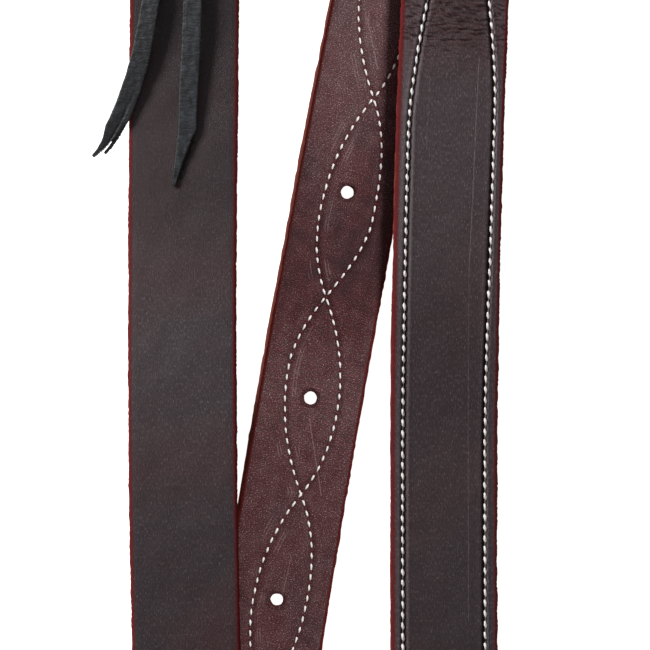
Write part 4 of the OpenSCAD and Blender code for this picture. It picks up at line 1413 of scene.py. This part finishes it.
# ---------------------------------------------------------------- camera and light
VIEW_X, VIEW_Y = SHIFT[0] * MM, SHIFT[1] * MM
CAMERA_Z = 1.0
VIEW_WIDTH = 0.2704
camera_data = bpy.data.cameras.new("camera")
camera_data.sensor_width = 36.0
camera_data.lens = 36.0 * (CAMERA_Z - 0.006) / VIEW_WIDTH
camera = bpy.data.objects.new("camera", camera_data)
camera.location = (VIEW_X, VIEW_Y, CAMERA_Z)
bpy.context.scene.collection.objects.link(camera)
bpy.context.scene.camera = camera
bpy.context.scene.view_settings.view_transform = "Standard"

# Scores: start, end, width and strength of each.
RIGHT_SCORES = (((63.3, 110), (59.2, 22), 0.34, 0.85), ((59.2, 22), (59.5, -123), 0.32, 0.5),
                ((43.2, 102), (41.6, 73), 0.5, 0.35), ((39.1, -21), (40.2, -24), 0.3, 0.5))
LEFT_SCORES = (((-37.9, 52), (-35.5, 55.5), 0.2, 0.4), ((-66, 18), (-61, 20), 0.2, 0.25),
               ((-55, -60), (-50, -62), 0.2, 0.2))
MIDDLE_SCORES = (((-6.5, -39), (-1.5, -71), 0.3, 0.5), ((17.5, 128), (22, 106), 0.35, 0.5),
                 ((-14, -96), (-19, -118), 0.3, 0.35))
STRAP_LOOK = dict(face=rgb(41, 30, 35), patch=rgb(74, 28, 31), edge=rgb(114, 33, 35), raw=rgb(112, 60, 50),
                  flesh=rgb(104, 58, 46), gloss=0.48, grain=26.0, speck=0.8, speck_and_sheen_tone=rgb(112, 97, 102),
                  streak=0.25, fleck_size=27.0, scores=RIGHT_SCORES + LEFT_SCORES, shine=0.5, crease_size=5.0)
LINING_LOOK = dict(face=rgb(48, 24, 29), patch=rgb(88, 17, 23), edge=rgb(88, 20, 22), raw=rgb(112, 66, 48),
                   flesh=rgb(128, 70, 50), gloss=0.5, grain=15.0, speck=0.9, speck_and_sheen_tone=rgb(176, 146, 146),
                   streak=1.2, fleck_size=19.0, scores=MIDDLE_SCORES, shine=0.2, crease_size=9.0)
strap_leather = leather("strap_leather", STRAP_LOOK)
lining_leather = leather("lining_leather", LINING_LOOK)
white_thread = thread_material("waxed_thread", rgb(220, 211, 207), rgb(255, 253, 250))
stitch_hole_shade = pit_shade_material()
shaded_thread = thread_material("shaded_thread", rgb(92, 84, 84), rgb(150, 140, 136))
lace_leather = lace_material("lace_leather", 1.55)
# The left tail's lace: the same lace leather in darker tones.
darker_lace_leather = lace_material("darker_lace_leather", 1.0)
steel = metal_material("buckle_steel", rgb(196, 196, 200), 0.22)
roller_steel = metal_material("roller_steel", rgb(214, 214, 216), 0.16)


# ---------------------------------------------------------------- the pieces
def fit(obj, material, body, cad):
    """Gives a piece its material, its body and the CAD piece that it stands for."""
    obj.data.materials.append(material)
    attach(obj, body)
    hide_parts(cad)


def fit_stitches(rows, body, cad):
    """The same for rows of stitches, which have three materials."""
    for row in rows:
        for i, material in enumerate((white_thread, stitch_hole_shade, shaded_thread)):
            row.data.materials[i] = material
        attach(row, body)
        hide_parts(cad)


outer = make_strap_ply()
fit(outer, strap_leather, "strap", "strap_ply")
lining = make_lining_ply()
fit(lining, lining_leather, "strap", "lining_ply")
for row, cad in make_seams():
    fit_stitches([row], "strap", cad)
fit(make_knot(), lace_leather, "strap", "tie_lace_knot")
for keeper, y, body, seed in (("fixed", FIXED_KEEPER_Y, "strap", 1),
                              ("sliding", SLIDING_KEEPER_Y, "sliding_keeper", 2)):
    fit(make_keeper(f"keeper_{keeper}", y, seed), strap_leather, body, f"{keeper}_keeper")
    fit_stitches(make_keeper_stitches(f"keeper_{keeper}_stitches", y), body, f"{keeper}_keeper_thread")
fit_stitches(make_chape_stitches(), "strap", "chape_thread")
fit(make_frame(), steel, "buckle", "buckle_frame")
fit(make_roller(), roller_steel, "roller", "buckle_roller")
fit(make_tongue(), steel, "tongue", "buckle_tongue")
for tail, places, cad, material in (
        (make_left_tail(), LEFT_TAIL, "tie_lace_tail_left", darker_lace_leather),
        (make_right_tail(), RIGHT_TAIL, "tie_lace_tail_right", lace_leather)):
    fit(tail, material, "strap", cad)
    route = (np.array(places, float) + SHIFT) * MM
    # The last half of the last stretch is only the lace's pointed tip.
    route = np.concatenate([route[:-1], [mix(route[-2], route[-1], 0.5)]]).tolist()

floor_mesh = bpy.data.meshes.new("floor")
floor_mesh.from_pydata([(-3, -3, 0), (3, -3, 0), (3, 3, 0), (-3, 3, 0)], [], [(0, 1, 2, 3)])
floor = bpy.data.objects.new("floor", floor_mesh)
bpy.context.scene.collection.objects.link(floor)
floor_material, _, floor_shader = start_material("pale_floor")
floor_shader.inputs["Base Color"].default_value = (0.85, 0.85, 0.85, 1)
floor_shader.inputs["Roughness"].default_value = 0.9
floor_shader.inputs["Emission Color"].default_value = (1, 1, 1, 1)
floor_shader.inputs["Emission Strength"].default_value = 1.0
floor_mesh.materials.append(floor_material)


def area_light(name, place, aim, size, power, lit=None):
    """A round soft lamp; lit are the only pieces that it lights, where that is given."""
    data = bpy.data.lights.new(name, "AREA")
    data.shape, data.size, data.energy = "DISK", size, power
    light = bpy.data.objects.new(name, data)
    light.location = place
    light.rotation_euler = (Vector(aim) - Vector(place)).to_track_quat("-Z", "Y").to_euler()
    bpy.context.scene.collection.objects.link(light)
    if lit is not None:
        group = bpy.data.collections.new(name + "_lit")
        for piece in lit:
            group.objects.link(piece)
        light.light_linking.receiver_collection = group
    return light


on_middle = [lining] + [o for o in bpy.data.objects if o.name.startswith("eight_stitches")]
elsewhere = [o for o in bpy.data.objects if o.type == "MESH" and o not in on_middle]
area_light("left_lamp", (-1.35, 0.9, 0.84), (0, 0, 0), 0.62, 41, elsewhere)
area_light("right_lamp", (0.8, 0.5, 1.1), (0, 0, 0), 0.4, 21, on_middle)
world = bpy.data.worlds.new("studio")
world.use_nodes = True
world.node_tree.nodes["Background"].inputs[0].default_value = (1, 1, 1, 1)
world.node_tree.nodes["Background"].inputs[1].default_value = 0.25
bpy.context.scene.world = world
